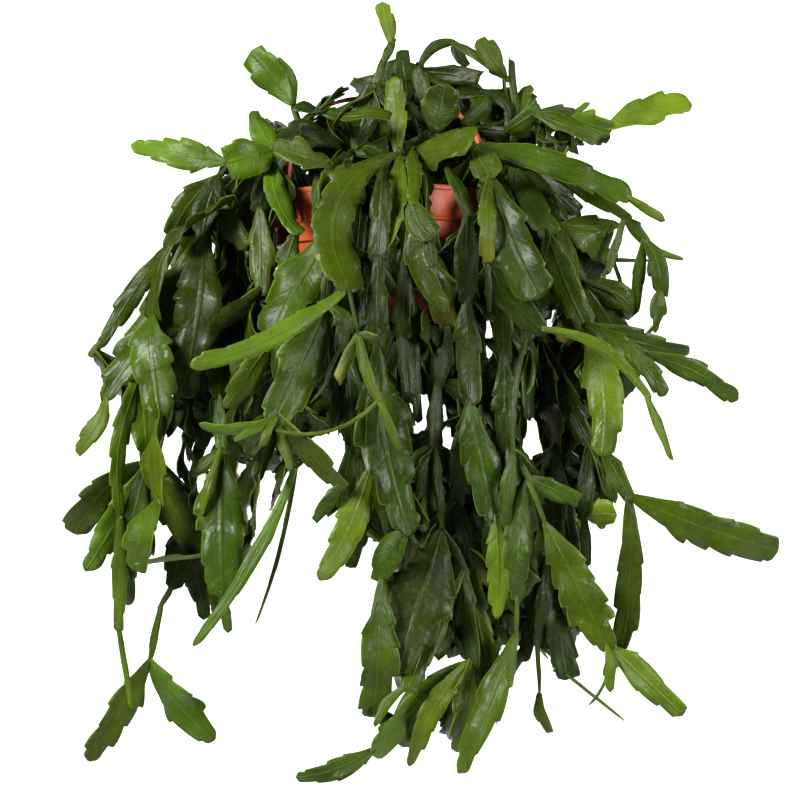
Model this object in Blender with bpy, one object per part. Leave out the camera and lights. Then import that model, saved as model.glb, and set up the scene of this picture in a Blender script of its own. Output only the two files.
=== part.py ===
"""Potted rhipsalis: a flat-stemmed hanging cactus in a plastic hanging pot.

Metres, +Z up. The origin is the centre of the pot's flat underside, and the front faces -Y.
"""

import math
import random
from collections import namedtuple

import bmesh
import bpy
from mathutils import Matrix, Vector
from mathutils.bvhtree import BVHTree

MM = 0.001
GAP = 0.4 * MM

# Driving dimensions of the pot
RIM_RADIUS = 70 * MM
RIM_BOTTOM_RADIUS = 69 * MM
RIM_RIDGE_RADIUS = 70.2 * MM
RIM_HEIGHT = 111 * MM
RIM_RIDGE_HEIGHT = 91 * MM
RIM_BOTTOM_HEIGHT = 79 * MM
RIDGE_DEPTH = 0.8 * MM
BODY_TOP_RADIUS = 67 * MM
BASE_RADIUS = 51 * MM
BASE_EDGE = 2 * MM
WALL = 2 * MM
FLOOR = 2.5 * MM
POT_SIDES = 28
SHARP_ANGLE = 30
DRAIN_HOLES = 4
DRAIN_RING_RADIUS = 33 * MM
DRAIN_RADIUS = 4 * MM
DRAIN_SIDES = 6

# Driving dimensions of the soil and the holes that the stems stand in
SOIL_HEIGHT = 97 * MM
SOIL_HUMP = 3 * MM
SOIL_SIDES = 20
SOIL_SHOULDER_RADIUS = 58 * MM
PEG_RADIUS = 1.8 * MM
PEG_DEPTH = 16 * MM
PEG_ABOVE = 8 * MM
PEG_SIDES = 4
HOLE_RADIUS = 2.6 * MM
HOLE_RING_RADIUS = 54 * MM

# Driving dimensions of the hanger
ARM_ANGLES = (90, 210, 330)
ARM_WIDTH = 5 * MM
ARM_THICKNESS = 2.4 * MM
ARM_STATIONS = 8
ARM_TOP = 172 * MM
ARM_BULGE_POWER = 2.5
CLIP_DROP = 9 * MM
CLIP_THICKNESS = 1.8 * MM
CLIP_WIDTH = 8 * MM
BRIDGE_OVERLAP, BRIDGE_SHARE = 1.2, 0.9
ARM_END_LENGTH = 2 * MM
HUB_RADIUS = 9.5 * MM
HUB_HEIGHT = 7 * MM
HUB_SIDES = 20
HUB_SLOT_DEPTH = 3.5 * MM
HOOK_WIRE_RADIUS = 1.8 * MM
HOOK_WIRE_SIDES = 5
HOOK_LOOP_RADIUS = 7.5 * MM
HOOK_NECK = 2 * MM
HOOK_FOOT = 2 * MM
HOOK_BENDS = 8
HOOK_START, HOOK_TURN = -90, 245

# Driving dimensions of the leaf-like stem segments
LEAF_THICKNESS = 2.0 * MM
LEAF_BASE_HALF_WIDTH = 1.5 * MM
LEAF_LEAST_HALF_WIDTH = 1.1 * MM
LEAF_SINK = 4 * MM
LEAF_SINK_STEP = 0.6 * MM
LEAF_RINGS = ((24 * MM, 5), (16 * MM, 4), (4.5 * MM, 3), (0, 2))
FIRST_RING, LAST_RING = 0.16, 0.92
TOOTH_DEPTH = 0.1
FULL_FROM = 0.42
TAPER_FROM, TAPER_SPAN, TAPER_POWER = 0.62, 0.4, 2.2
RIB_AT_BASE, RIB_FALL = 1.15, 0.45
CLEARANCE = 0.5 * MM
JOINT_CROSSINGS = 14
CLEAR_TRIALS = 40
SEED = 11

# Finishes
PLASTIC = (0.60, 0.13, 0.05)
PEAT = (0.035, 0.022, 0.015)
OLD_GREEN = (0.035, 0.09, 0.022)
YOUNG_GREEN = (0.125, 0.25, 0.047)

# The front view that the shown tips are read in: its scale at the pot's axis, and its eye point
VIEW_SCALE = RIM_RADIUS / 112
VIEW_CENTRE = (400, 399.5)
POT_CENTRE = (387, 375)
EYE_DISTANCE = 1.0

# How a shown leaf is moved to where it is clear: its tip's depth, its turn and its tip in the view
DEPTH_SHIFTS = (0, -4, 4, -8, 8, -12, 12, -16, 16, -22, 22, -28, 28, -36, 36)
TURN_SHIFTS = (0, 20, -20, 42, -42, 64, -64)
CURL_SHIFTS = (0, 0.12)
VIEW_SHIFTS = ((0, 0), (0, -8), (8, 0), (-8, 0), (0, 8), (9, -9), (-9, -9), (14, 6), (-14, 6))

# What chance gives a shown leaf: a lean in degrees, a curl, a twist, and how far it is cupped
SHOWN_LEAN = 28
LEAST_COSINE = 0.75
SHOWN_CURL = 0.07
SHOWN_TWIST = 0.7
SHOWN_CUP, CUP_SPREAD = 0.12, 0.16

# How the stems grow that no row below describes, joint by joint from the soil outwards
Habit = namedtuple("Habit", "climbs lengths widths bottoms reach forks_from fork_step")
BACK_HABIT = Habit(
    climbs=(60, 12, -45, -74, -85, -87, -87, -87),
    lengths=(38 * MM, 82 * MM),
    widths=(15 * MM, 29 * MM),
    bottoms=(-215 * MM, -80 * MM),
    reach=165 * MM,
    forks_from=1,
    fork_step=6,
)
CROWN_HABIT = Habit(
    climbs=(72, 40, 0, -50),
    lengths=(26 * MM, 42 * MM),
    widths=(9 * MM, 16 * MM),
    bottoms=(118 * MM, 124 * MM),
    reach=74 * MM,
    forks_from=0,
    fork_step=2,
)
BACK_STEMS = 10
BACK_FROM, BACK_TO = -12, 184
CROWN_DIRECTIONS = (250, 60, 150, 335)
CROWN_RADIUS = 26 * MM
ROOT_SHARE = 0.8
STALK_SHARE = 0.4
FORK_CHANCE = 0.1
FORK_SPREAD = 55
TRIES = 200
LEAST_SPREAD = 12
CLIMB_SPREAD = 0.6
SIDE_FACING = 0.2
RULE_BEND, RULE_CURL, RULE_LEAN, RULE_TWIST = 0.06, 0.1, 50, 0.8
RULE_CUPS = (-0.05, 0.3)

# The outline of the plant's body in the front view, and after it the larger gaps inside it
VIEW_ROWS = 799
EDGE_FROM = 5
OUTLINES = (
    ((222, 166), (234, 148), (252, 134), (254, 124), (264, 114), (270, 121), (302, 121), (314, 114),
     (342, 104), (358, 98), (356, 84), (368, 80), (380, 66), (390, 56), (412, 53), (422, 67),
     (452, 65), (468, 74), (484, 86), (500, 89), (530, 86), (538, 98), (544, 110), (574, 115),
     (602, 120), (613, 133), (610, 145), (590, 143), (574, 152), (560, 164), (572, 200), (584, 217),
     (606, 217), (619, 224), (604, 233), (604, 250), (614, 256), (610, 268), (614, 284), (632, 303),
     (640, 312), (642, 335), (668, 336), (684, 344), (688, 357), (646, 358), (657, 380), (648, 384),
     (650, 396), (632, 394), (620, 408), (608, 438), (614, 457), (634, 486), (634, 498), (616, 500),
     (616, 526), (592, 519), (584, 524), (586, 545), (592, 574), (604, 590), (608, 624), (612, 642),
     (600, 654), (584, 634), (576, 646), (572, 662), (574, 676), (556, 677), (547, 664), (543, 650),
     (530, 652), (517, 662), (512, 680), (505, 708), (492, 743), (474, 756), (468, 766), (461, 754),
     (442, 738), (440, 727), (428, 734), (422, 752), (412, 764), (406, 754), (400, 743), (388, 737),
     (390, 716), (378, 716), (364, 702), (358, 676), (362, 646), (372, 616), (380, 590), (375, 572),
     (389, 547), (381, 518), (372, 533), (370, 548), (348, 567), (330, 571), (320, 578), (326, 552),
     (337, 514), (318, 520), (316, 504), (330, 488), (336, 477), (346, 458), (342, 440), (334, 434),
     (310, 438), (302, 452), (296, 468), (288, 474), (281, 500), (267, 532), (250, 562), (248, 580),
     (240, 596), (236, 610), (232, 628), (202, 618), (200, 592), (188, 577), (170, 588), (168, 560),
     (172, 537), (165, 514), (160, 528), (158, 562), (151, 562), (135, 600), (124, 604), (115, 600),
     (118, 574), (118, 549), (102, 556), (88, 566), (92, 545), (101, 513), (90, 511), (80, 532),
     (74, 530), (75, 503), (84, 486), (100, 472), (113, 459), (117, 428), (122, 408), (122, 390),
     (102, 398), (102, 362), (112, 346), (94, 342), (96, 330), (104, 314), (128, 286), (158, 256),
     (160, 242), (172, 230), (174, 214), (180, 200), (190, 188), (208, 180)),
    ((168, 262), (190, 232), (196, 242), (170, 276)),
    ((158, 374), (160, 358), (166, 346), (172, 362), (170, 370)),
    ((163, 450), (181, 428), (184, 456), (190, 480), (172, 478)),
    ((194, 448), (200, 436), (206, 452), (218, 458), (195, 469)),
    ((235, 466), (244, 452), (249, 472), (257, 482), (251, 492)),
    ((256, 541), (258, 490), (266, 466), (273, 476), (266, 530)),
    ((232, 291), (240, 291), (251, 304), (246, 307), (234, 299)),
    ((523, 421), (528, 421), (543, 458), (538, 456), (524, 438)),
    ((539, 311), (550, 311), (555, 328), (548, 329)),
    ((543, 170), (562, 182), (552, 182)),
    ((428, 684), (438, 672), (448, 656), (465, 661), (452, 674)),
    ((382, 711), (393, 674), (408, 674), (396, 698)),
)

SOIL = -1

Shown = namedtuple("Shown", "after across down depth width age bend", defaults=(0.0,))
Shown.__doc__ = """One segment that the front shows.

It grows from the segment in row after, or from the soil. across and down give its tip's place in
the front view and width its width there, and depth is the tip's depth in millimetres behind the
pot's axis. age runs from 0, old and dark, to 3, young and pale. bend bows it sideways.
"""

# The stems that the front shows. A row's first number is the row that it grows from, counted from 0.
SHOWN_STEMS = {
    "stem_front_mid": (
        Shown(SOIL, 400, 147, -62, 14, 1),
        Shown(0, 352, 293, -118, 45, 1, 0.22),
        Shown(1, 190, 366, -150, 21, 2, -0.06),
        Shown(1, 360, 342, -122, 4, 1),
        Shown(3, 378, 338, -126, 11, 2),
        Shown(3, 337, 380, -124, 13, 2),
        Shown(3, 383, 407, -127, 12, 2, 0.05),
        Shown(6, 400, 452, -128, 10, 2),
        Shown(6, 275, 430, -130, 4, 2, -0.15),
        Shown(0, 385, 250, -100, 20, 2, -0.05),
        Shown(0, 394, 77, -52, 22, 2),
    ),
    "stem_front_round": (
        Shown(SOIL, 413, 147, -58, 12, 1),
        Shown(0, 404, 214, -90, 17, 1),
        Shown(0, 427, 212, -84, 18, 0, -0.05),
        Shown(0, 473, 141, -92, 39, 1),
        Shown(1, 433, 238, -100, 31, 1, 0.1),
        Shown(4, 432, 268, -102, 14, 1),
        Shown(5, 455, 282, -104, 4, 1),
        Shown(1, 448, 313, -92, 28, 1, 0.08),
    ),
    "stem_crown_left": (
        Shown(SOIL, 357, 145, -46, 12, 1),
        Shown(0, 377, 83, -44, 31, 0),
        Shown(1, 384, 59, -40, 9, 1),
        Shown(2, 394, 38, -38, 9, 1),
        Shown(3, 382, 2, -36, 19, 3),
        Shown(1, 352, 81, 0, 16, 0),
        Shown(0, 328, 168, -74, 9, 0),
        Shown(6, 272, 145, -66, 26, 1),
        Shown(6, 322, 215, -86, 27, 1),
    ),
    "stem_crown_mid": (
        Shown(SOIL, 438, 127, -45, 12, 0),
        Shown(0, 445, 83, -50, 44, 1),
        Shown(0, 405, 100, -18, 10, 0),
        Shown(2, 402, 50, -14, 24, 0),
        Shown(2, 421, 64, -12, 12, 0),
        Shown(4, 459, 43, -14, 11, 1, -0.22),
        Shown(5, 466, 67, -18, 14, 0),
        Shown(5, 510, 82, -24, 10, 1),
        Shown(7, 477, 40, -34, 21, 1),
        Shown(4, 480, 78, -30, 18, 0),
        Shown(0, 416, 66, -34, 20, 0),
    ),
    "stem_crown_right": (
        Shown(SOIL, 470, 125, -25, 12, 0),
        Shown(0, 512, 133, -34, 14, 0),
        Shown(1, 479, 92, -30, 13, 0, 0.33),
        Shown(1, 541, 110, -42, 20, 1),
        Shown(1, 519, 113, -20, 9, 0),
        Shown(4, 531, 85, -14, 16, 1, -0.05),
        Shown(4, 511, 60, -18, 8, 1),
        Shown(3, 577, 117, -32, 20, 1),
        Shown(7, 589, 102, -34, 7, 2),
        Shown(7, 612, 130, -28, 27, 2, 0.05),
        Shown(9, 692, 105, -22, 33, 3, -0.06),
        Shown(3, 598, 142, -50, 20, 1),
    ),
    "stem_right_arch": (
        Shown(SOIL, 473, 143, -72, 10, 0),
        Shown(0, 632, 200, -66, 28, 1, -0.06),
        Shown(1, 665, 221, -64, 10, 2),
        Shown(0, 556, 176, -50, 10, 0),
        Shown(3, 631, 222, -52, 17, 1, -0.03),
        Shown(4, 649, 244, -51, 14, 1),
        Shown(5, 660, 295, -50, 21, 1, -0.08),
        Shown(6, 655, 333, -50, 16, 1),
        Shown(5, 634, 315, -42, 13, 1),
        Shown(4, 607, 275, -56, 9, 1),
        Shown(5, 683, 258, -46, 7, 2, 0.1),
    ),
    "stem_right_front": (
        Shown(SOIL, 478, 147, -80, 12, 1),
        Shown(0, 493, 179, -98, 30, 1),
        Shown(1, 540, 298, -116, 46, 1, 0.03),
        Shown(1, 488, 270, -108, 19, 2, 0.03),
        Shown(3, 547, 333, -104, 33, 0, 0.05),
        Shown(4, 650, 401, -112, 12, 2, -0.13),
        Shown(5, 671, 460, -112, 10, 2),
        Shown(3, 489, 313, -100, 7, 1),
    ),
    "stem_right_pale": (
        Shown(SOIL, 515, 160, -55, 10, 0),
        Shown(0, 550, 236, -84, 28, 1),
        Shown(1, 587, 331, -92, 31, 1, 0.03),
        Shown(2, 601, 456, -106, 37, 2, -0.09),
        Shown(3, 632, 501, -106, 22, 1),
        Shown(4, 778, 550, -100, 41, 1, 0.03),
        Shown(4, 621, 655, -96, 28, 1, -0.03),
        Shown(2, 665, 396, -98, 22, 1, -0.08),
        Shown(2, 689, 353, -70, 26, 1, 0.03),
        Shown(2, 650, 356, -74, 10, 1),
        Shown(9, 738, 400, -78, 22, 1, -0.06),
    ),
    "stem_right_ribbed": (
        Shown(SOIL, 530, 158, -25, 12, 0),
        Shown(0, 561, 232, -58, 15, 0),
        Shown(1, 574, 311, -74, 28, 1),
        Shown(1, 621, 225, -40, 21, 1),
        Shown(1, 616, 262, -28, 25, 1),
        Shown(4, 649, 261, -30, 4, 1),
        Shown(0, 578, 214, -8, 24, 0),
        Shown(1, 585, 288, -48, 12, 0),
        Shown(7, 622, 341, -34, 33, 1),
        Shown(7, 634, 312, -44, 28, 1, -0.1),
        Shown(0, 548, 232, -46, 32, 0),
    ),
    "stem_right_low": (
        Shown(SOIL, 500, 165, -40, 10, 0),
        Shown(0, 512, 250, -62, 24, 0),
        Shown(1, 527, 345, -84, 26, 0),
        Shown(2, 514, 458, -96, 7, 1, 0.05),
        Shown(3, 503, 529, -98, 16, 1),
        Shown(3, 531, 486, -92, 9, 1),
        Shown(5, 518, 602, -100, 28, 1, 0.05),
        Shown(6, 516, 641, -104, 4, 1),
        Shown(7, 458, 773, -116, 31, 1),
        Shown(5, 547, 529, -96, 5, 1),
        Shown(9, 611, 652, -102, 45, 1),
        Shown(10, 683, 715, -100, 30, 2),
        Shown(10, 610, 692, -104, 15, 2),
        Shown(10, 588, 706, -100, 4, 2, -0.15),
        Shown(5, 579, 501, -88, 22, 1),
    ),
    "stem_right_inner": (
        Shown(SOIL, 520, 150, 0, 10, 0),
        Shown(0, 528, 240, -30, 22, 0),
        Shown(1, 540, 345, -55, 28, 0),
        Shown(2, 592, 448, -68, 26, 0),
        Shown(3, 584, 521, -70, 18, 0),
        Shown(4, 617, 515, -74, 31, 3),
        Shown(4, 588, 566, -68, 10, 0),
        Shown(2, 556, 452, -46, 27, 0),
        Shown(7, 571, 550, -60, 22, 0),
        Shown(7, 547, 560, -48, 26, 0),
        Shown(9, 566, 680, -62, 31, 0),
        Shown(10, 625, 721, -62, 3, 2),
        Shown(9, 522, 662, -52, 26, 0),
        Shown(9, 536, 645, -60, 14, 0),
        Shown(13, 540, 700, -62, 5, 1),
        Shown(14, 550, 733, -62, 13, 2, 0.1),
    ),
    "stem_mid_dark": (
        Shown(SOIL, 450, 162, -72, 10, 0),
        Shown(0, 470, 216, -92, 13, 1),
        Shown(1, 466, 305, -86, 24, 0),
        Shown(2, 470, 407, -92, 30, 1),
        Shown(3, 497, 521, -98, 38, 1, 0.03),
        Shown(4, 496, 619, -98, 27, 3, -0.03),
        Shown(3, 456, 508, -84, 24, 0),
        Shown(6, 472, 558, -92, 21, 0),
        Shown(7, 494, 688, -100, 25, 2, 0.03),
        Shown(2, 487, 407, -78, 20, 0),
        Shown(6, 444, 545, -80, 20, 0),
    ),
    "stem_front_low": (
        Shown(SOIL, 383, 168, -80, 10, 0),
        Shown(0, 378, 262, -92, 24, 0),
        Shown(1, 376, 352, -98, 22, 0),
        Shown(2, 411, 537, -116, 52, 1, 0.05),
        Shown(3, 381, 583, -108, 28, 1, 0.1),
        Shown(4, 374, 717, -108, 35, 1),
        Shown(2, 371, 471, -102, 14, 0),
        Shown(6, 319, 580, -122, 33, 2, -0.05),
        Shown(6, 350, 568, -104, 20, 0),
        Shown(6, 391, 546, -100, 11, 0),
    ),
    "stem_low_mid": (
        Shown(SOIL, 420, 168, -78, 9, 0),
        Shown(0, 423, 240, -80, 12, 0),
        Shown(1, 450, 330, -80, 28, 0),
        Shown(2, 436, 390, -84, 22, 0),
        Shown(3, 433, 454, -90, 16, 0),
        Shown(4, 424, 507, -96, 29, 1),
        Shown(4, 442, 535, -94, 10, 0),
        Shown(6, 397, 674, -126, 62, 0),
        Shown(6, 467, 575, -100, 12, 0),
        Shown(8, 408, 691, -130, 30, 1, 0.03),
        Shown(9, 375, 727, -130, 11, 2, 0.1),
        Shown(8, 472, 668, -106, 22, 0),
        Shown(11, 371, 754, -128, 40, 2, 0.03),
        Shown(12, 296, 777, -132, 22, 1, -0.06),
        Shown(11, 409, 766, -112, 24, 2, 0.08),
        Shown(11, 457, 752, -108, 31, 1),
        Shown(11, 481, 703, -100, 17, 0),
    ),
    "stem_front_left": (
        Shown(SOIL, 347, 158, -68, 10, 0),
        Shown(0, 330, 238, -92, 22, 0),
        Shown(1, 271, 345, -108, 50, 1, 0.03),
        Shown(1, 326, 312, -102, 14, 0),
        Shown(3, 272, 425, -120, 50, 1),
        Shown(4, 199, 424, -128, 12, 2, -0.1),
        Shown(4, 234, 441, -124, 10, 2),
        Shown(4, 261, 447, -122, 8, 2),
        Shown(4, 291, 472, -124, 10, 2),
        Shown(4, 345, 490, -118, 25, 1),
        Shown(9, 314, 521, -116, 15, 1),
        Shown(3, 337, 352, -108, 18, 1, -0.25),
        Shown(11, 289, 411, -112, 10, 0, -0.12),
        Shown(2, 225, 408, -104, 26, 2),
        Shown(2, 231, 373, -102, 18, 1),
    ),
    "stem_left_front": (
        Shown(SOIL, 342, 142, -34, 12, 0),
        Shown(0, 268, 157, -52, 30, 0, 0.22),
        Shown(1, 252, 111, -48, 25, 2),
        Shown(1, 226, 163, -62, 42, 2),
        Shown(1, 300, 235, -82, 23, 2, 0.1),
        Shown(4, 284, 269, -86, 21, 1),
        Shown(1, 258, 213, -46, 22, 0),
        Shown(6, 262, 296, -60, 26, 1),
        Shown(7, 208, 331, -92, 17, 0),
    ),
    "stem_left_high": (
        Shown(SOIL, 300, 128, -5, 12, 0),
        Shown(0, 224, 165, -22, 20, 1),
        Shown(1, 131, 145, -14, 32, 3),
        Shown(1, 213, 181, -20, 6, 0),
        Shown(3, 166, 252, -24, 28, 1, 0.08),
        Shown(4, 98, 348, -30, 22, 1, 0.02),
        Shown(5, 89, 357, -30, 9, 2),
        Shown(4, 162, 286, -28, 9, 1),
        Shown(3, 202, 242, -32, 31, 0, 0.03),
        Shown(8, 102, 401, -48, 43, 1, -0.03),
        Shown(9, 76, 452, -48, 21, 2, -0.1),
        Shown(8, 181, 397, -54, 48, 0, -0.06),
        Shown(3, 221, 210, -26, 10, 0),
        Shown(12, 246, 250, -36, 24, 1),
        Shown(0, 291, 99, -2, 7, 1),
        Shown(14, 251, 51, 2, 34, 2, 0.03),
        Shown(14, 278, 58, -6, 8, 1, 0.15),
    ),
    "stem_left_low": (
        Shown(SOIL, 268, 140, 20, 12, 0),
        Shown(0, 208, 205, 14, 22, 0),
        Shown(1, 172, 300, -6, 30, 0),
        Shown(2, 145, 366, -34, 20, 0),
        Shown(3, 150, 468, -48, 33, 2, 0.03),
        Shown(4, 75, 534, -46, 31, 1, 0.1),
        Shown(4, 85, 571, -54, 32, 2, -0.02),
        Shown(4, 128, 605, -40, 27, 1, 0.03),
        Shown(4, 209, 550, -50, 40, 1, 0.05),
        Shown(4, 189, 527, -34, 12, 0),
        Shown(9, 172, 590, -40, 28, 0),
        Shown(10, 158, 611, -42, 7, 1),
        Shown(11, 149, 666, -44, 9, 1),
        Shown(12, 88, 761, -50, 28, 1),
        Shown(12, 215, 740, -44, 38, 2, 0.05),
        Shown(9, 204, 620, -30, 26, 0),
        Shown(3, 121, 522, -58, 18, 2, 0.05),
        Shown(16, 118, 632, -58, 16, 2),
        Shown(17, 131, 708, -58, 7, 2),
    ),
    "stem_left_mid": (
        Shown(SOIL, 285, 150, 5, 12, 0),
        Shown(0, 232, 240, -8, 26, 0),
        Shown(1, 228, 322, -30, 24, 0),
        Shown(2, 218, 400, -50, 44, 1),
        Shown(3, 222, 456, -66, 16, 1),
        Shown(4, 222, 597, -80, 50, 1),
        Shown(4, 190, 478, -66, 13, 1),
        Shown(4, 200, 519, -70, 10, 2),
        Shown(1, 229, 283, -16, 11, 0),
        Shown(8, 223, 323, -18, 10, 0),
        Shown(3, 191, 478, -40, 15, 0),
        Shown(5, 228, 633, -80, 12, 1),
        Shown(2, 257, 400, -60, 26, 0),
    ),
    "stem_left_needle": (
        Shown(SOIL, 318, 160, -66, 10, 0),
        Shown(0, 325, 262, -80, 22, 0),
        Shown(1, 290, 365, -96, 26, 0),
        Shown(2, 297, 468, -104, 20, 0),
        Shown(3, 193, 646, -116, 14, 2, -0.05),
        Shown(3, 255, 625, -108, 5, 1, -0.03),
        Shown(2, 257, 482, -90, 16, 0),
    ),
    "stem_mid_left": (
        Shown(SOIL, 365, 160, -78, 8, 0),
        Shown(0, 356, 255, -84, 22, 0),
        Shown(1, 345, 350, -94, 24, 0),
        Shown(2, 352, 450, -100, 26, 1),
        Shown(3, 341, 511, -102, 21, 1),
        Shown(2, 333, 426, -100, 15, 0),
    ),
    "stem_mid": (
        Shown(SOIL, 412, 160, -84, 8, 0),
        Shown(0, 405, 262, -88, 22, 0),
        Shown(1, 402, 340, -92, 18, 0),
        Shown(2, 408, 396, -98, 16, 0),
        Shown(1, 418, 423, -90, 14, 0),
    ),
    "stem_mid_right": (
        Shown(SOIL, 490, 160, -58, 8, 0),
        Shown(0, 498, 262, -80, 26, 0),
        Shown(1, 503, 360, -86, 24, 0),
        Shown(2, 508, 455, -88, 26, 0),
        Shown(3, 490, 560, -86, 24, 0),
        Shown(3, 530, 560, -84, 26, 0),
    ),
}


def material(name, colour, roughness):
    made = bpy.data.materials.new(name)
    made.use_nodes = True
    shader = made.node_tree.nodes["Principled BSDF"]
    shader.inputs["Base Color"].default_value = (*colour, 1)
    shader.inputs["Roughness"].default_value = roughness
    shader.inputs["Metallic"].default_value = 0
    return made


def object_of(name, mesh, finish):
    """The bmesh as an object in the scene, with its material."""
    data = bpy.data.meshes.new(name)
    mesh.to_mesh(data)
    mesh.free()
    data.materials.append(finish)
    made = bpy.data.objects.new(name, data)
    bpy.context.scene.collection.objects.link(made)
    return made


def turned(profile, sides):
    """A closed shape turned about Z from a profile that starts and ends on the axis."""
    mesh = bmesh.new()
    points = [mesh.verts.new((radius, 0, height)) for radius, height in profile]
    edges = [mesh.edges.new(pair) for pair in zip(points, points[1:])]
    bmesh.ops.spin(mesh, geom=points + edges, cent=(0, 0, 0), axis=(0, 0, 1),
                   angle=math.tau, steps=sides)
    bmesh.ops.remove_doubles(mesh, verts=mesh.verts, dist=1e-6)
    bmesh.ops.recalc_face_normals(mesh, faces=mesh.faces)
    return mesh


def prism(mesh, centre, radius, bottom, top, sides):
    """Adds an upright prism to the bmesh."""
    place = Matrix.Translation((centre[0], centre[1], (bottom + top) / 2))
    bmesh.ops.create_cone(mesh, cap_ends=True, segments=sides, radius1=radius, radius2=radius,
                          depth=top - bottom, matrix=place)


def block(mesh, size, place):
    """Adds a box of this size to the bmesh, put in place by a matrix."""
    scale = Matrix.Diagonal((*size, 1))
    bmesh.ops.create_cube(mesh, size=1, matrix=place @ scale)


def swept(rings):
    """A tube through rings of points, closed at both ends."""
    mesh = bmesh.new()
    rows = [[mesh.verts.new(point) for point in ring] for ring in rings]
    for row, following in zip(rows, rows[1:]):
        for i in range(len(row)):
            j = (i + 1) % len(row)
            mesh.faces.new((row[i], row[j], following[j], following[i]))
    mesh.faces.new(reversed(rows[0]))
    mesh.faces.new(rows[-1])
    bmesh.ops.recalc_face_normals(mesh, faces=mesh.faces)
    return mesh


def boolean(target, operation, others, solver="EXACT"):
    """Applies one Boolean on a collection of objects, and removes them."""
    tools = bpy.data.collections.new("tools")
    bpy.context.scene.collection.children.link(tools)
    for other in others:
        tools.objects.link(other)
    modifier = target.modifiers.new("Boolean", "BOOLEAN")
    modifier.operation = operation
    modifier.operand_type = "COLLECTION"
    modifier.collection = tools
    modifier.solver = solver
    with bpy.context.temp_override(object=target, active_object=target):
        bpy.ops.object.modifier_apply(modifier="Boolean")
    for other in others:
        bpy.data.objects.remove(other)
    bpy.data.collections.remove(tools)


def body_radius(height):
    """The outer radius of the pot's tapered body at a height."""
    share = height / RIM_BOTTOM_HEIGHT
    return BASE_RADIUS + share * (BODY_TOP_RADIUS - BASE_RADIUS)


def make_pot(finish):
    profile = (
        (0, 0),
        (BASE_RADIUS - BASE_EDGE, 0),
        (body_radius(BASE_EDGE), BASE_EDGE),
        (BODY_TOP_RADIUS, RIM_BOTTOM_HEIGHT),
        (RIM_BOTTOM_RADIUS, RIM_BOTTOM_HEIGHT),
        (RIM_RIDGE_RADIUS, RIM_RIDGE_HEIGHT),
        (RIM_RADIUS - RIDGE_DEPTH, RIM_RIDGE_HEIGHT + RIDGE_DEPTH),
        (RIM_RADIUS, RIM_HEIGHT),
        (RIM_RADIUS - WALL, RIM_HEIGHT),
        (RIM_BOTTOM_RADIUS - WALL, RIM_BOTTOM_HEIGHT + WALL),
        (BODY_TOP_RADIUS - WALL, RIM_BOTTOM_HEIGHT - WALL),
        (body_radius(FLOOR) - WALL, FLOOR),
        (0, FLOOR),
    )
    pot = object_of("pot", turned(profile, POT_SIDES), finish)
    pot.data.shade_smooth()
    pot.data.set_sharp_from_angle(angle=math.radians(SHARP_ANGLE))
    holes = bmesh.new()
    for i in range(DRAIN_HOLES):
        angle = math.tau * (i + 0.5) / DRAIN_HOLES
        centre = (DRAIN_RING_RADIUS * math.cos(angle), DRAIN_RING_RADIUS * math.sin(angle))
        prism(holes, centre, DRAIN_RADIUS, -WALL, 3 * WALL, DRAIN_SIDES)
    boolean(pot, "DIFFERENCE", [object_of("drain_holes", holes, finish)])


def hole_places(count):
    """Places for the stems in the soil, spread evenly by a sunflower spiral."""
    turn = math.pi * (3 - math.sqrt(5))
    places = []
    for i in range(count):
        out = HOLE_RING_RADIUS * math.sqrt((i + 0.5) / count)
        places.append(Vector((math.cos(turn * i), math.sin(turn * i))) * out)
    return places


def make_soil(finish, places):
    floor = FLOOR + GAP
    side = BODY_TOP_RADIUS - WALL - 2 * GAP
    top = SOIL_HEIGHT + SOIL_HUMP
    profile = (
        (0, floor),
        (body_radius(floor) - WALL - 2 * GAP, floor),
        (side, RIM_BOTTOM_HEIGHT - WALL),
        (side, SOIL_HEIGHT),
        (SOIL_SHOULDER_RADIUS, top),
        (0, top),
    )
    soil = object_of("soil", turned(profile, SOIL_SIDES), finish)
    holes = bmesh.new()
    for place in places:
        prism(holes, place, HOLE_RADIUS, top - PEG_DEPTH - GAP, top + PEG_ABOVE, PEG_SIDES)
    boolean(soil, "DIFFERENCE", [object_of("stem_holes", holes, finish)])


def arm_ring(angle, radius, height, tilt):
    """Four corners of an arm's section, tilt radians away from lying flat."""
    along = Vector((math.cos(angle), math.sin(angle), 0))
    side = Vector((-math.sin(angle), math.cos(angle), 0)) * ARM_WIDTH / 2
    out = (along * math.sin(tilt) + Vector((0, 0, math.cos(tilt)))) * ARM_THICKNESS / 2
    middle = along * radius + Vector((0, 0, height))
    return [middle - side - out, middle + side - out, middle + side + out, middle - side + out]


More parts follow.
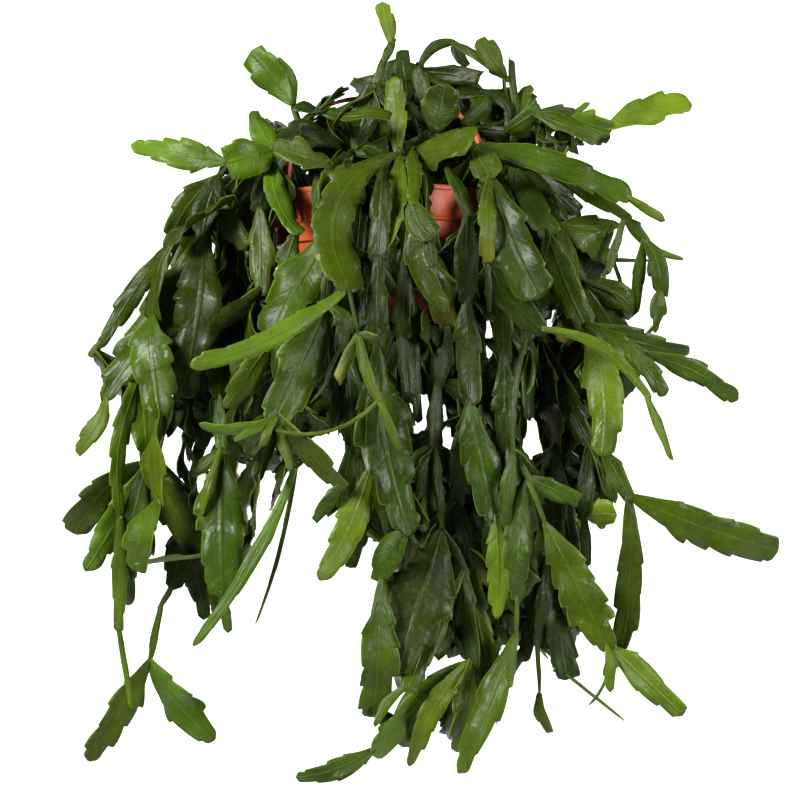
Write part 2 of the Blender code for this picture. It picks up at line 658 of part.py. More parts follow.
def make_arm(name, degrees, finish):
    """A bowed strap from a clip over the rim to a slot in the hub."""
    angle = math.radians(degrees)
    foot = RIM_RADIUS - WALL / 2
    bottom = RIM_HEIGHT + GAP
    rings = []
    for i in range(ARM_STATIONS):
        turn = math.radians(90) * i / ARM_STATIONS
        radius = foot * math.cos(turn) ** (2 / ARM_BULGE_POWER)
        height = bottom + (ARM_TOP - bottom) * math.sin(turn) ** (2 / ARM_BULGE_POWER)
        rings.append(arm_ring(angle, radius, height, math.radians(90) - turn))
    rings.append(arm_ring(angle, HUB_RADIUS + ARM_END_LENGTH, ARM_TOP, 0))
    rings.append(arm_ring(angle, HUB_RADIUS - HUB_SLOT_DEPTH + GAP, ARM_TOP, 0))
    arm = object_of(name, swept(rings), finish)
    legs = bmesh.new()
    turn = Matrix.Rotation(angle, 4, "Z")
    height = CLIP_DROP + CLIP_THICKNESS
    middle = bottom + CLIP_THICKNESS - height / 2
    for radius in (
        RIM_RADIUS + GAP + CLIP_THICKNESS / 2,
        RIM_RADIUS - WALL - 2 * GAP - CLIP_THICKNESS / 2,
    ):
        size = (CLIP_THICKNESS, CLIP_WIDTH, height)
        block(legs, size, turn @ Matrix.Translation((radius, 0, middle)))
    bridge = bmesh.new()
    reach = WALL + 3 * GAP + BRIDGE_OVERLAP * CLIP_THICKNESS
    size = (reach, BRIDGE_SHARE * CLIP_WIDTH, BRIDGE_SHARE * CLIP_THICKNESS)
    block(bridge, size, turn @ Matrix.Translation((foot, 0, bottom + CLIP_THICKNESS / 2)))
    boolean(arm, "UNION", [object_of("legs", legs, finish), object_of("bridge", bridge, finish)])


def make_hub(finish):
    """The hanger's hub, with slots for the arms and an open hook on top."""
    top = ARM_TOP + HUB_HEIGHT / 2
    disc = bmesh.new()
    prism(disc, (0, 0), HUB_RADIUS, ARM_TOP - HUB_HEIGHT / 2, top, HUB_SIDES)
    hub = object_of("hanger_hook", disc, finish)
    slots = bmesh.new()
    for degrees in ARM_ANGLES:
        turn = Matrix.Rotation(math.radians(degrees), 4, "Z")
        size = (2 * HUB_SLOT_DEPTH, ARM_WIDTH + 2 * GAP, ARM_THICKNESS + 2 * GAP)
        block(slots, size, turn @ Matrix.Translation((HUB_RADIUS, 0, ARM_TOP)))
    boolean(hub, "DIFFERENCE", [object_of("slots", slots, finish)])
    centre = Vector((0, 0, top + HOOK_NECK + HOOK_LOOP_RADIUS))
    path = [Vector((0, 0, top - HOOK_FOOT))]
    for i in range(HOOK_BENDS + 1):
        angle = math.radians(HOOK_START + HOOK_TURN * i / HOOK_BENDS)
        path.append(centre + HOOK_LOOP_RADIUS * Vector((0, math.cos(angle), math.sin(angle))))
    across = Vector((1, 0, 0))
    rings = []
    for i, point in enumerate(path):
        along = (path[min(i + 1, len(path) - 1)] - path[max(i - 1, 0)]).normalized()
        out = along.cross(across)
        turns = [math.tau * k / HOOK_WIRE_SIDES for k in range(HOOK_WIRE_SIDES)]
        rings.append([
            point + HOOK_WIRE_RADIUS * (across * math.cos(turn) + out * math.sin(turn))
            for turn in turns
        ])
    boolean(hub, "UNION", [object_of("hook_wire", swept(rings), finish)])


def eye_place():
    """How far the eye is to the side of the pot's axis, and its height."""
    aside, lower = VIEW_CENTRE[0] - POT_CENTRE[0], VIEW_CENTRE[1] - POT_CENTRE[1]
    return aside * VIEW_SCALE, -lower * VIEW_SCALE


def seen_at(across, down, depth):
    """The point that the front view shows at a place in it, at a depth behind the pot's axis."""
    scale = view_scale(depth)
    eye_x, eye_z = eye_place()
    return Vector((
        eye_x + (across - VIEW_CENTRE[0]) * scale,
        depth,
        eye_z - (down - VIEW_CENTRE[1]) * scale,
    ))


def view_scale(depth):
    return VIEW_SCALE * (EYE_DISTANCE + depth) / EYE_DISTANCE


class Leaf:
    """One flat stem segment: a bowed centre line with a scalloped blade along it."""

    def __init__(self, base, tip, width, facing, bend, curl, turn, twist, cup):
        self.base, self.tip, self.width = base, tip, width
        chord = tip - base
        self.side = chord.cross(facing).normalized()
        self.face = self.side.cross(chord).normalized()
        offset = self.side * bend + self.face * curl
        self.middle = (base + tip) / 2 + 2 * chord.length * offset
        self.turn, self.twist, self.cup = turn, twist, cup

    def point(self, u):
        return (1 - u) ** 2 * self.base + 2 * u * (1 - u) * self.middle + u * u * self.tip

    def frame(self, u):
        """The direction along, the direction across and the face's direction at u."""
        along = ((1 - u) * (self.middle - self.base) + u * (self.tip - self.middle)).normalized()
        angle = self.turn + self.twist * (u - 0.5)
        face = self.face * math.cos(angle) + self.side * math.sin(angle)
        across = along.cross(face).normalized()
        return along, across, across.cross(along)

    def stations(self):
        """How far along the leaf its rings are, from 0 at its base to 1 at its tip."""
        rings = next(count for least, count in LEAF_RINGS if self.width >= least)
        return [FIRST_RING + (LAST_RING - FIRST_RING) * i / (rings - 1) for i in range(rings)]

    def child_base(self, rank):
        """Where the rank-th of the leaves that grow from this one starts, back from its tip."""
        left = LEAF_SINK + LEAF_SINK_STEP * rank
        here = self.tip
        for u in reversed(self.stations()):
            there = self.point(u)
            step = (there - here).length
            if step >= left:
                return here.lerp(there, left / step)
            left -= step
            here = there
        return here

    def half_width(self, u):
        """Narrow at the base, full from two fifths of the way, blunt at the tip."""
        grown = min(1, u / FULL_FROM)
        rise = grown * grown * (3 - 2 * grown)
        fall = math.sqrt(1 - max(0, (u - TAPER_FROM) / TAPER_SPAN) ** TAPER_POWER)
        full = max(self.width / 2, LEAF_LEAST_HALF_WIDTH)
        narrow = min(LEAF_BASE_HALF_WIDTH, full)
        return narrow + (full - narrow) * rise * fall

    def section(self, u, left, right, grow):
        """Left edge, upper midrib, right edge and lower midrib at u."""
        _, across, face = self.frame(u)
        half = self.half_width(u)
        lift = face * self.cup * half
        rib = face * (LEAF_THICKNESS / 2 * (RIB_AT_BASE - RIB_FALL * u) + grow)
        centre = self.point(u)
        return [
            centre - across * (half * left + grow) + lift,
            centre + rib,
            centre + across * (half * right + grow) + lift,
            centre - rib,
        ]

    def shape(self, grow=0.0):
        """Vertices and triangles: a point at each end, and both faces of the blade split alike."""
        points = [self.base]
        for i, u in enumerate(self.stations()):
            notch = TOOTH_DEPTH * (-1) ** i if i else 0
            points += self.section(u, 1 - notch, 1 + notch, grow)
        last = len(points)
        points.append(self.tip + self.frame(1)[0] * grow)
        faces = [(2, 1, 0), (3, 2, 0), (4, 3, 0), (1, 4, 0)]
        for a in range(1, last - 4, 4):
            b, c, d, e, f, g, h = range(a + 1, a + 8)
            faces += [(b, e, a), (f, e, b), (g, f, b), (c, g, b)]
            faces += [(a, e, d), (e, h, d), (h, g, d), (g, c, d)]
        a, b, c, d = range(last - 4, last)
        faces += [(b, last, a), (c, last, b), (d, last, c), (a, last, d)]
        return points, faces


def box_of(points):
    low = [min(point[i] for point in points) for i in range(3)]
    high = [max(point[i] for point in points) for i in range(3)]
    return low, high


def boxes_apart(first, second):
    return any(first[0][i] > second[1][i] or second[0][i] > first[1][i] for i in range(3))


class Obstacle:
    """A shape that leaves keep clear of. A leaf's has its stem, its number and its parent's."""

    def __init__(self, points, faces, stem=None, number=None, after=None):
        self.tree = BVHTree.FromPolygons(points, faces)
        self.box = box_of(points)
        self.stem, self.number, self.after = stem, number, after


def in_pot(points):
    """Whether any point is in the space that the pot and the soil take."""
    reach = RIM_RADIUS + 2 * CLEARANCE
    return any(
        -CLEARANCE < point.z < RIM_HEIGHT + CLEARANCE and math.hypot(point.x, point.y) < reach
        for point in points
    )


def crossings(leaf, stem, after, obstacles, own):
    """How many faces of its own stem a leaf crosses at its joint, or None if it isn't clear.

    It may cross its parent and its siblings, or with own any leaf of its own stem.
    """
    points, faces = leaf.shape(CLEARANCE)
    if after == SOIL:
        if any(point.z < SOIL_HEIGHT + SOIL_HUMP + CLEARANCE for point in points):
            return None
    elif in_pot(points):
        return None
    box = box_of(points)
    tree = BVHTree.FromPolygons(points, faces)
    count = 0
    for obstacle in obstacles:
        if boxes_apart(box, obstacle.box):
            continue
        crossed = len(tree.overlap(obstacle.tree))
        if crossed and not (obstacle.stem == stem and (own or after in (obstacle.number, obstacle.after))):
            return None
        count += crossed
    return count


def choose(trials, stem, after, obstacles, own=False):
    """The first trial that is clear with a simple joint, or else the simplest of the clear ones."""
    chosen, fewest, clear = None, math.inf, 0
    for leaf in trials:
        count = crossings(leaf, stem, after, obstacles, own)
        if count is None:
            continue
        clear += 1
        if count < fewest:
            chosen, fewest = leaf, count
        if count <= JOINT_CROSSINGS or clear == CLEAR_TRIALS:
            break
    return chosen


def obstacle_of(made, stem=None, number=None):
    points = [vertex.co.copy() for vertex in made.data.vertices]
    return Obstacle(points, [tuple(face.vertices) for face in made.data.polygons], stem, number)


def shown_trials(row, base, shift, draws):
    """Leaves from a base to a tip in the front view, the wanted one first."""
    for aside, lower in VIEW_SHIFTS:
        for step in DEPTH_SHIFTS:
            away = shift + step * MM
            tip = seen_at(row.across + aside, row.down + lower, row.depth * MM + away)
            for turn in TURN_SHIFTS:
                angle = math.radians(SHOWN_LEAN * draws[0] + turn)
                width = row.width * view_scale(tip.y) / max(LEAST_COSINE, math.cos(angle))
                for curl in CURL_SHIFTS:
                    leaf = Leaf(base, tip, width, Vector((0, -1, 0)), row.bend,
                                SHOWN_CURL * draws[1] + curl, angle, SHOWN_TWIST * draws[2],
                                SHOWN_CUP + CUP_SPREAD * draws[3])
                    leaf.shift = away
                    yield leaf


def grow_shown(name, rows, start, rng, obstacles):
    """Grows one shown stem. A tip keeps its place in the view, and what is in its way moves it."""
    grown = {}
    ranks = [0] * len(rows)
    for number, row in enumerate(rows):
        draws = [rng.uniform(-1, 1) for _ in range(4)]
        if row.after == SOIL:
            base, shift = start, 0.0
        elif row.after in grown:
            base = grown[row.after].child_base(ranks[row.after])
            shift = grown[row.after].shift
            ranks[row.after] += 1
        else:
            print("without its parent:", name, number)
            continue
        leaf = choose(shown_trials(row, base, shift, draws), name, row.after, obstacles)
        if not leaf:
            leaf = choose(shown_trials(row, base, shift, draws), name, row.after, obstacles, own=True)
        if not leaf:
            print("left out:", name, number)
            continue
        leaf.age = row.age
        obstacles.append(Obstacle(*leaf.shape(), name, number, row.after))
        grown[number] = leaf
    return list(grown.values())


def stretches():
    """For each row of the front view, the stretches of it that are inside the outlines."""
    rows = []
    for row in range(VIEW_ROWS):
        crossed = []
        for outline in OUTLINES:
            for (x1, y1), (x2, y2) in zip(outline, outline[1:] + outline[:1]):
                if (y1 > row) != (y2 > row):
                    crossed.append(x1 + (row - y1) * (x2 - x1) / (y2 - y1))
        crossed.sort()
        rows.append(list(zip(crossed[::2], crossed[1::2])))
    return rows


INSIDE = stretches()


def is_bare(point):
    """Whether a point is where the front view shows the background."""
    scale = view_scale(point.y)
    eye_x, eye_z = eye_place()
    across = VIEW_CENTRE[0] + (point.x - eye_x) / scale
    row = int(VIEW_CENTRE[1] - (point.z - eye_z) / scale)
    if not 0 <= row < VIEW_ROWS:
        return True
    return not any(left < across < right for left, right in INSIDE[row])


def rule_trials(habit, base, step, heading, rng):
    """Leaves that lean ever further from where the stem is heading."""
    for attempt in range(TRIES):
        spread = LEAST_SPREAD + attempt
        azimuth = math.radians(heading + rng.uniform(-spread, spread))
        climb = math.radians(habit.climbs[step] + CLIMB_SPREAD * rng.uniform(-spread, spread))
        out = Vector((math.cos(azimuth), math.sin(azimuth), 0))
        length = rng.uniform(*habit.lengths)
        tip = base + length * (out * math.cos(climb) + Vector((0, 0, math.sin(climb))))
        width = rng.uniform(*habit.widths) * (STALK_SHARE if step == 0 else 1)
        facing = Vector((tip.x, tip.y, SIDE_FACING * abs(tip.x))).normalized()
        bend, curl = rng.uniform(-RULE_BEND, RULE_BEND), rng.uniform(0, RULE_CURL)
        lean = math.radians(rng.uniform(-RULE_LEAN, RULE_LEAN))
        twist, cup = rng.uniform(-RULE_TWIST, RULE_TWIST), rng.uniform(*RULE_CUPS)
        leaf = Leaf(base, tip, width, facing, bend, curl, lean, twist, cup)
        leaf.age = min(3, step / 2)
        if is_bare(tip) or tip.xy.length > habit.reach:
            continue
        if not any(is_bare(point) for point in leaf.shape()[0][EDGE_FROM:]):
            yield leaf


def grow_by_rule(name, habit, degrees, start, rng, obstacles):
    """Grows one stem by its habit, with a fork at some of its joints."""
    bottom = rng.uniform(*habit.bottoms)
    heads = [(start, 0, degrees, SOIL)]
    grown = []
    while heads:
        base, step, heading, after = heads.pop(0)
        if step >= len(habit.climbs) or (step > 1 and base.z < bottom):
            continue
        leaf = choose(rule_trials(habit, base, step, heading, rng), name, after, obstacles)
        if not leaf:
            continue
        number = len(grown)
        obstacles.append(Obstacle(*leaf.shape(), name, number, after))
        grown.append(leaf)
        heads.append((leaf.child_base(0), step + 1, heading, number))
        if step >= habit.forks_from and rng.random() < FORK_CHANCE:
            side = heading + rng.choice((-1, 1)) * FORK_SPREAD
            heads.append((leaf.child_base(1), max(step + 1, habit.fork_step), side, number))
    return grown


def leaf_mesh(leaf):
    mesh = bmesh.new()
    points, faces = leaf.shape()
    vertices = [mesh.verts.new(point) for point in points]
    for face in faces:
        mesh.faces.new([vertices[i] for i in face])
    return mesh


def peg_mesh(place):
    mesh = bmesh.new()
    top = SOIL_HEIGHT + SOIL_HUMP
    prism(mesh, place, PEG_RADIUS, top - PEG_DEPTH, top + PEG_ABOVE, PEG_SIDES)
    return mesh


def take_nearest(places, wanted):
    """Takes the free place nearest to where a stem wants to stand."""
    best = min(places, key=lambda place: (place - wanted).length)
    places.remove(best)
    return best


def green(age):
    """A stem's green, from old and dark to young and light."""
    old, young = Vector(OLD_GREEN), Vector(YOUNG_GREEN)
    return tuple(old.lerp(young, age / 3))


def mean_depth(name):
    rows = SHOWN_STEMS[name]
    return sum(row.depth for row in rows) / len(rows)


def direction(degrees):
    angle = math.radians(degrees)
    return Vector((math.cos(angle), math.sin(angle)))


def plan_stems():
    """Each stem's place in the soil, with its rows or its habit, and the way that it heads.

    The outermost shown stem comes first, because those behind it have more room to move.
    """
    free = hole_places(len(SHOWN_STEMS) + len(CROWN_DIRECTIONS) + BACK_STEMS)
    plans = {}
    for name in sorted(SHOWN_STEMS, key=mean_depth):
        rows = SHOWN_STEMS[name]
        joint = seen_at(rows[0].across, rows[0].down, rows[0].depth * MM)
        plans[name] = take_nearest(free, ROOT_SHARE * joint.xy), rows, None
    for number, degrees in enumerate(CROWN_DIRECTIONS, 1):
        place = take_nearest(free, CROWN_RADIUS * direction(degrees))
        plans[f"stem_crown_{number}"] = place, CROWN_HABIT, degrees
    for i in range(BACK_STEMS):
        degrees = BACK_FROM + (BACK_TO - BACK_FROM) * i / (BACK_STEMS - 1)
        place = take_nearest(free, HOLE_RING_RADIUS * direction(degrees))
        plans[f"stem_back_{i + 1}"] = place, BACK_HABIT, degrees
    return plans


def make_stems(plans):
    """Each stem is a peg in the soil and the leaves that grow from it, joined into one solid."""
    obstacles = [obstacle_of(made) for made in bpy.context.scene.collection.objects]
    finish = material("stem_green", green(1), 0.4)
    pegs = {}
    for name, (place, _, _) in plans.items():
        pegs[name] = object_of(name, peg_mesh(place), finish)
        obstacles.append(obstacle_of(pegs[name], name, SOIL))
    rng = random.Random(SEED)
    start_height = SOIL_HEIGHT + SOIL_HUMP + PEG_ABOVE - LEAF_SINK
    for name, (place, plan, degrees) in plans.items():
        start = Vector((*place, start_height))
        if name in SHOWN_STEMS:
            grown = grow_shown(name, plan, start, rng, obstacles)
        else:
            grown = grow_by_rule(name, plan, degrees, start, rng, obstacles)
        age = sum(leaf.age for leaf in grown) / max(1, len(grown))
        pegs[name].data.materials[0] = material(name + "_green", green(age), 0.4)
        leaves = [object_of("leaf", leaf_mesh(leaf), finish) for leaf in grown]
        boolean(pegs[name], "UNION", leaves, "MANIFOLD")
        print(name, len(grown), "leaves")
    bpy.data.materials.remove(finish)


def main():
    for old in list(bpy.data.objects):
        bpy.data.objects.remove(old)
    plastic = material("terracotta_plastic", PLASTIC, 0.35)
    make_pot(plastic)
    for number, degrees in enumerate(ARM_ANGLES, 1):
        make_arm(f"hanger_arm_{number}", degrees, plastic)
    make_hub(plastic)
    plans = plan_stems()
    make_stems(plans)
    soil = material("potting_soil", PEAT, 0.95)
    make_soil(soil, [place for place, _, _ in plans.values()])


main()
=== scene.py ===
# %% [markdown]
# # A potted rhipsalis
#
# This lesson dresses the packed model of a hanging rhipsalis. The real plant is a forest cactus. What
# look like leaves are flat, fleshy stem segments with scalloped edges, which grow end to end in chains
# that arch over the pot's rim and trail down all round. The packed model says where each segment is.
# Here each one gets a thin waved blade, a midrib and a waxy skin, many smaller ones grow between them,
# and the pot, the hanger and the soil get the small forms and finishes that plain solids lack.

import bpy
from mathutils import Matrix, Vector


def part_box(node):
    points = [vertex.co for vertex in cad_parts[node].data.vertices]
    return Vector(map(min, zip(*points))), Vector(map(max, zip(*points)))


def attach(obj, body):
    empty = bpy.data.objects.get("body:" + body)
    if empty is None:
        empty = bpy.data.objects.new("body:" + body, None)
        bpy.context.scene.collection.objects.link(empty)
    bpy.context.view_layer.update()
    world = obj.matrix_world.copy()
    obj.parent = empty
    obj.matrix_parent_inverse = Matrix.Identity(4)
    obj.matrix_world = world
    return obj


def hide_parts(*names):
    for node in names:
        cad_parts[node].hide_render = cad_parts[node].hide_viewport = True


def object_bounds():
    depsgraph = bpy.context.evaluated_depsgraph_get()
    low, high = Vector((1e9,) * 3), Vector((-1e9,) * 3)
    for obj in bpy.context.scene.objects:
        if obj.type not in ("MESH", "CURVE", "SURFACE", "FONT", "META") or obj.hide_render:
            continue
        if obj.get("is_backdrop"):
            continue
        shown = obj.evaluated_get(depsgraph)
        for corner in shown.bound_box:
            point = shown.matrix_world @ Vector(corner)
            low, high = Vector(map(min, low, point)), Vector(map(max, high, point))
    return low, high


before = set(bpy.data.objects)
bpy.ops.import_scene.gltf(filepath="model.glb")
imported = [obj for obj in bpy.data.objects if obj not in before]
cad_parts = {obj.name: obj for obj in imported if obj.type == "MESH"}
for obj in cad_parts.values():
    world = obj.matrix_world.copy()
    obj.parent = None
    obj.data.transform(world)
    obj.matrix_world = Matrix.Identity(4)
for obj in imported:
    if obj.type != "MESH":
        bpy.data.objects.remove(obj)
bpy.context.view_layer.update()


# %% Bring in what the lesson uses
import math
import random
from collections import namedtuple

import bmesh
import bpy
import numpy as np
from mathutils import Matrix, Vector
from mathutils.bvhtree import BVHTree

MM = 0.001


# %% [markdown]
# ## The view
#
# The plant is seen from straight in front, a little below the rim, from about a metre away. That is
# close enough for segments that reach forward to look larger, so the lens has a real distance and not
# an endless one. The pot's rim is 140 mm across and spans 224 pixels of the picture, which gives the
# scale, and the middle of the picture gives the height of the eye. Places in the picture are counted
# from its top left corner, across and down.

# %% Set up the camera
RIM_RADIUS = 70 * MM
VIEW_SHAPE = (799, 800)
VIEW_SCALE = RIM_RADIUS / 112
VIEW_CENTRE = (400, 399.5)
POT_CENTRE = (387, 375)
EYE_DISTANCE = 1.0

eye_x = (VIEW_CENTRE[0] - POT_CENTRE[0]) * VIEW_SCALE
eye_z = (POT_CENTRE[1] - VIEW_CENTRE[1]) * VIEW_SCALE
bpy.ops.object.camera_add(location=(eye_x, -EYE_DISTANCE, eye_z), rotation=(math.radians(90), 0, 0))
camera = bpy.context.object
camera.data.lens = camera.data.sensor_width * EYE_DISTANCE / (VIEW_SHAPE[1] * VIEW_SCALE)
bpy.context.scene.camera = camera
print("The lens is", round(camera.data.lens, 1), "mm")


# %% [markdown]
# ## A few helpers
#
# Each operator acts on everything that is selected, so each piece starts with nothing selected. A
# finished piece has its place in its mesh, rides on the one body that the plant has and gets its
# finish as its material, and the packed node that it stands for is hidden.

# %% Helpers for starting and finishing a piece
def start_clean():
    if bpy.context.object and bpy.context.object.mode != "OBJECT":
        bpy.ops.object.mode_set(mode="OBJECT")
    bpy.ops.object.select_all(action="DESELECT")


def apply_modifiers(piece):
    bpy.context.view_layer.objects.active = piece
    for modifier in list(piece.modifiers):
        bpy.ops.object.modifier_apply(modifier=modifier.name)


def finish_piece(piece, name, look, node):
    """Names the piece, gives it its material and tells the frame what it is."""
    start_clean()
    piece.select_set(True)
    bpy.context.view_layer.objects.active = piece
    bpy.ops.object.transform_apply(location=True, rotation=True, scale=True)
    piece.name = piece.data.name = name
    piece.data.materials.clear()
    piece.data.materials.append(look)
    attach(piece, "root")
    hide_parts(node)
    print("Made", name, "with", len(piece.data.polygons), "faces")


# %% [markdown]
# ## Finishes
#
# A material here is a small tree of nodes that ends in a Principled shader. A helper that adds a node
# and fills in its sockets keeps each tree short enough to read. A socket takes a number, a colour or
# the output of another node.

# %% Helpers for node trees
def add_node(tree, kind, settings=None, **inputs):
    """Adds a node, sets its own settings, and fills its sockets by their names, or as i0, i1 and on."""
    node = tree.nodes.new(kind)
    for key, value in (settings or {}).items():
        setattr(node, key, value)
    for key, value in inputs.items():
        socket = node.inputs[int(key[1:]) if key[1:].isdigit() else key]
        if isinstance(value, bpy.types.NodeSocket):
            tree.links.new(value, socket)
        else:
            socket.default_value = value
    return node


def maths(tree, operation, a, b=0.0):
    return add_node(tree, "ShaderNodeMath", {"operation": operation}, i0=a, i1=b).outputs[0]


def times(tree, a, b):
    return maths(tree, "MULTIPLY", a, b)


def remap(tree, value, low, high, to_low=0.0, to_high=1.0):
    """A value from low to high moved smoothly to another range, and held at its ends."""
    return add_node(tree, "ShaderNodeMapRange", {"interpolation_type": "SMOOTHSTEP"}, i0=value,
                    i1=low, i2=high, i3=to_low, i4=to_high).outputs[0]


def mixed(tree, share, first, second, blend="MIX"):
    """Two colours mixed by a share. Sockets 6 and 7 are the node's colours."""
    return add_node(tree, "ShaderNodeMix", {"data_type": "RGBA", "blend_type": blend}, i0=share,
                    i6=first, i7=second).outputs[2]


def noise(tree, where, scale, detail=2.0, roughness=0.5):
    return add_node(tree, "ShaderNodeTexNoise", Vector=where, Scale=scale, Detail=detail,
                    Roughness=roughness).outputs[0]


def cells(tree, where, scale):
    """How far a point is from the nearest of many scattered ones."""
    return add_node(tree, "ShaderNodeTexVoronoi", Vector=where, Scale=scale).outputs["Distance"]


def new_material(name):
    """A node material, with its tree, its shader and the Object coordinates."""
    made = bpy.data.materials.new(name)
    made.use_nodes = True
    tree = made.node_tree
    place = add_node(tree, "ShaderNodeTexCoord").outputs["Object"]
    return made, tree, tree.nodes["Principled BSDF"], place


def coat(tree, shader, colour, rough, strength, depth, height):
    """Gives the shader its colour and its roughness, and a bump of this depth from a height."""
    bump = add_node(tree, "ShaderNodeBump", Strength=strength, Distance=depth, Height=height)
    tree.links.new(colour, shader.inputs["Base Color"])
    if rough is not None:
        tree.links.new(rough, shader.inputs["Roughness"])
    tree.links.new(bump.outputs[0], shader.inputs["Normal"])


# %% [markdown]
# ### Terracotta-coloured plastic
#
# Nursery pots of this kind are thin injection-moulded plastic: an orange-red with a satin sheen, a
# very fine grain from the mould, and dust and scuffs that turn it paler here and there. Two noises are
# enough: a large one for the fading and the dust, and a tiny one for the grain in the bump.

# %% Make the plastic
FRESH_PLASTIC = (0.70, 0.105, 0.030, 1)
FADED_PLASTIC = (0.68, 0.150, 0.060, 1)
DUST = (0.55, 0.30, 0.2, 1)


def make_plastic():
    made, tree, shader, place = new_material("terracotta_plastic")
    fade = remap(tree, noise(tree, place, 18, 4), 0.35, 0.75)
    colour = mixed(tree, fade, FRESH_PLASTIC, FADED_PLASTIC)
    dust = remap(tree, noise(tree, place, 260, 6, 0.7), 0.62, 0.8, 0.0, 0.35)
    colour = mixed(tree, dust, colour, DUST)
    rough = remap(tree, noise(tree, place, 45, 3), 0.3, 0.7, 0.34, 0.5)
    coat(tree, shader, colour, rough, 0.25, 0.05 * MM, noise(tree, place, 3000, 2))
    shader.inputs["Specular IOR Level"].default_value = 0.28
    return made


plastic = make_plastic()
print("Made the finish", plastic.name)


# %% [markdown]
# ### Potting soil
#
# Peaty soil is nearly black, with brown fibres and a few pale grains. Voronoi cells give the crumbs
# in the bump, and a noise mixes the peat's black with the fibres' brown.

# %% Make the soil's finish
PEAT = (0.012, 0.007, 0.004, 1)
FIBRE = (0.065, 0.038, 0.02, 1)
GRAIN = (0.32, 0.25, 0.17, 1)


def make_soil_finish():
    made, tree, shader, place = new_material("potting_soil")
    tone = remap(tree, noise(tree, place, 130, 5, 0.7), 0.3, 0.7)
    colour = mixed(tree, tone, PEAT, FIBRE)
    pale = remap(tree, noise(tree, place, 700, 2), 0.7, 0.76)
    colour = mixed(tree, pale, colour, GRAIN)
    shader.inputs["Roughness"].default_value = 0.95
    coat(tree, shader, colour, None, 0.8, 1.2 * MM, cells(tree, place, 420.0))
    return made


soil_finish = make_soil_finish()
print("Made the finish", soil_finish.name)


# %% [markdown]
# ### The plant's skin
#
# A segment's green depends on its age. Old ones near the soil are dark, and young ones at the tips are
# a light yellow-green. In the middle of the plant, under its crown, the age is lowered, which paints
# the shade there. Each blade carries as attributes its age, a random tint, how many teeth its edges
# have, how much its tip blushes and how corky its midrib is. It also has a UV map whose u runs across
# it and whose v runs from its base to its tip. From these the tree paints the midrib, the thin pale
# margin, which also paints the light that shines through the thin edges, a corky streak, a few pale
# specks and a worn brown base.

# %% Paint the skin's colour
OLD, MATURE, GROWN, YOUNG = (
    (0.017, 0.032, 0.001, 1),
    (0.044, 0.080, 0.002, 1),
    (0.084, 0.150, 0.004, 1),
    (0.130, 0.220, 0.010, 1),
)
# A pale yellow-green for the mottle, the midrib and the edges; at the edges it also paints the light
# that shines through the thin flesh.
PALE_GREEN_AND_RIM_LIGHT = (0.24, 0.40, 0.02, 1)
CORK = (0.42, 0.31, 0.15, 1)
BARK = (0.075, 0.045, 0.022, 1)
BLUSH = (0.35, 0.28, 0.03, 1)
SPECK = (0.40, 0.45, 0.25, 1)
YOUNGEST = 3.0
VEIN_SLANT = 0.55


def attribute(tree, name):
    return add_node(tree, "ShaderNodeAttribute", {"attribute_name": name}).outputs["Fac"]


def blade_places(tree):
    """How far along the blade a point is, its distance from the midrib, and from the side veins."""
    uv = add_node(tree, "ShaderNodeUVMap", {"uv_map": "blade"}).outputs[0]
    across, along, _ = add_node(tree, "ShaderNodeSeparateXYZ", i0=uv).outputs
    off_rib = times(tree, maths(tree, "ABSOLUTE", maths(tree, "SUBTRACT", across, 0.5)), 2.0)
    count = maths(tree, "SUBTRACT", times(tree, along, attribute(tree, "teeth")),
                  times(tree, off_rib, VEIN_SLANT))
    return along, off_rib, maths(tree, "PINGPONG", count, 0.5)


def age_green(tree, place, age):
    """The green of an age, patchy and with a tint of its own."""
    ramp = add_node(tree, "ShaderNodeValToRGB", Fac=maths(tree, "DIVIDE", age, YOUNGEST))
    stops = ramp.color_ramp.elements
    stops[0].color, stops[1].color = OLD, YOUNG
    for position, green in ((0.33, MATURE), (0.67, GROWN)):
        stops.new(position).color = green
    patchy = remap(tree, noise(tree, place, 42, 4, 0.6), 0.3, 0.7, 0.72, 1.3)
    tint = remap(tree, attribute(tree, "tint"), 0.0, 1.0, 0.85, 1.15)
    shade = add_node(tree, "ShaderNodeCombineColor", i0=times(tree, patchy, tint), i1=patchy, i2=patchy)
    return mixed(tree, 1.0, ramp.outputs[0], shade.outputs[0], "MULTIPLY")


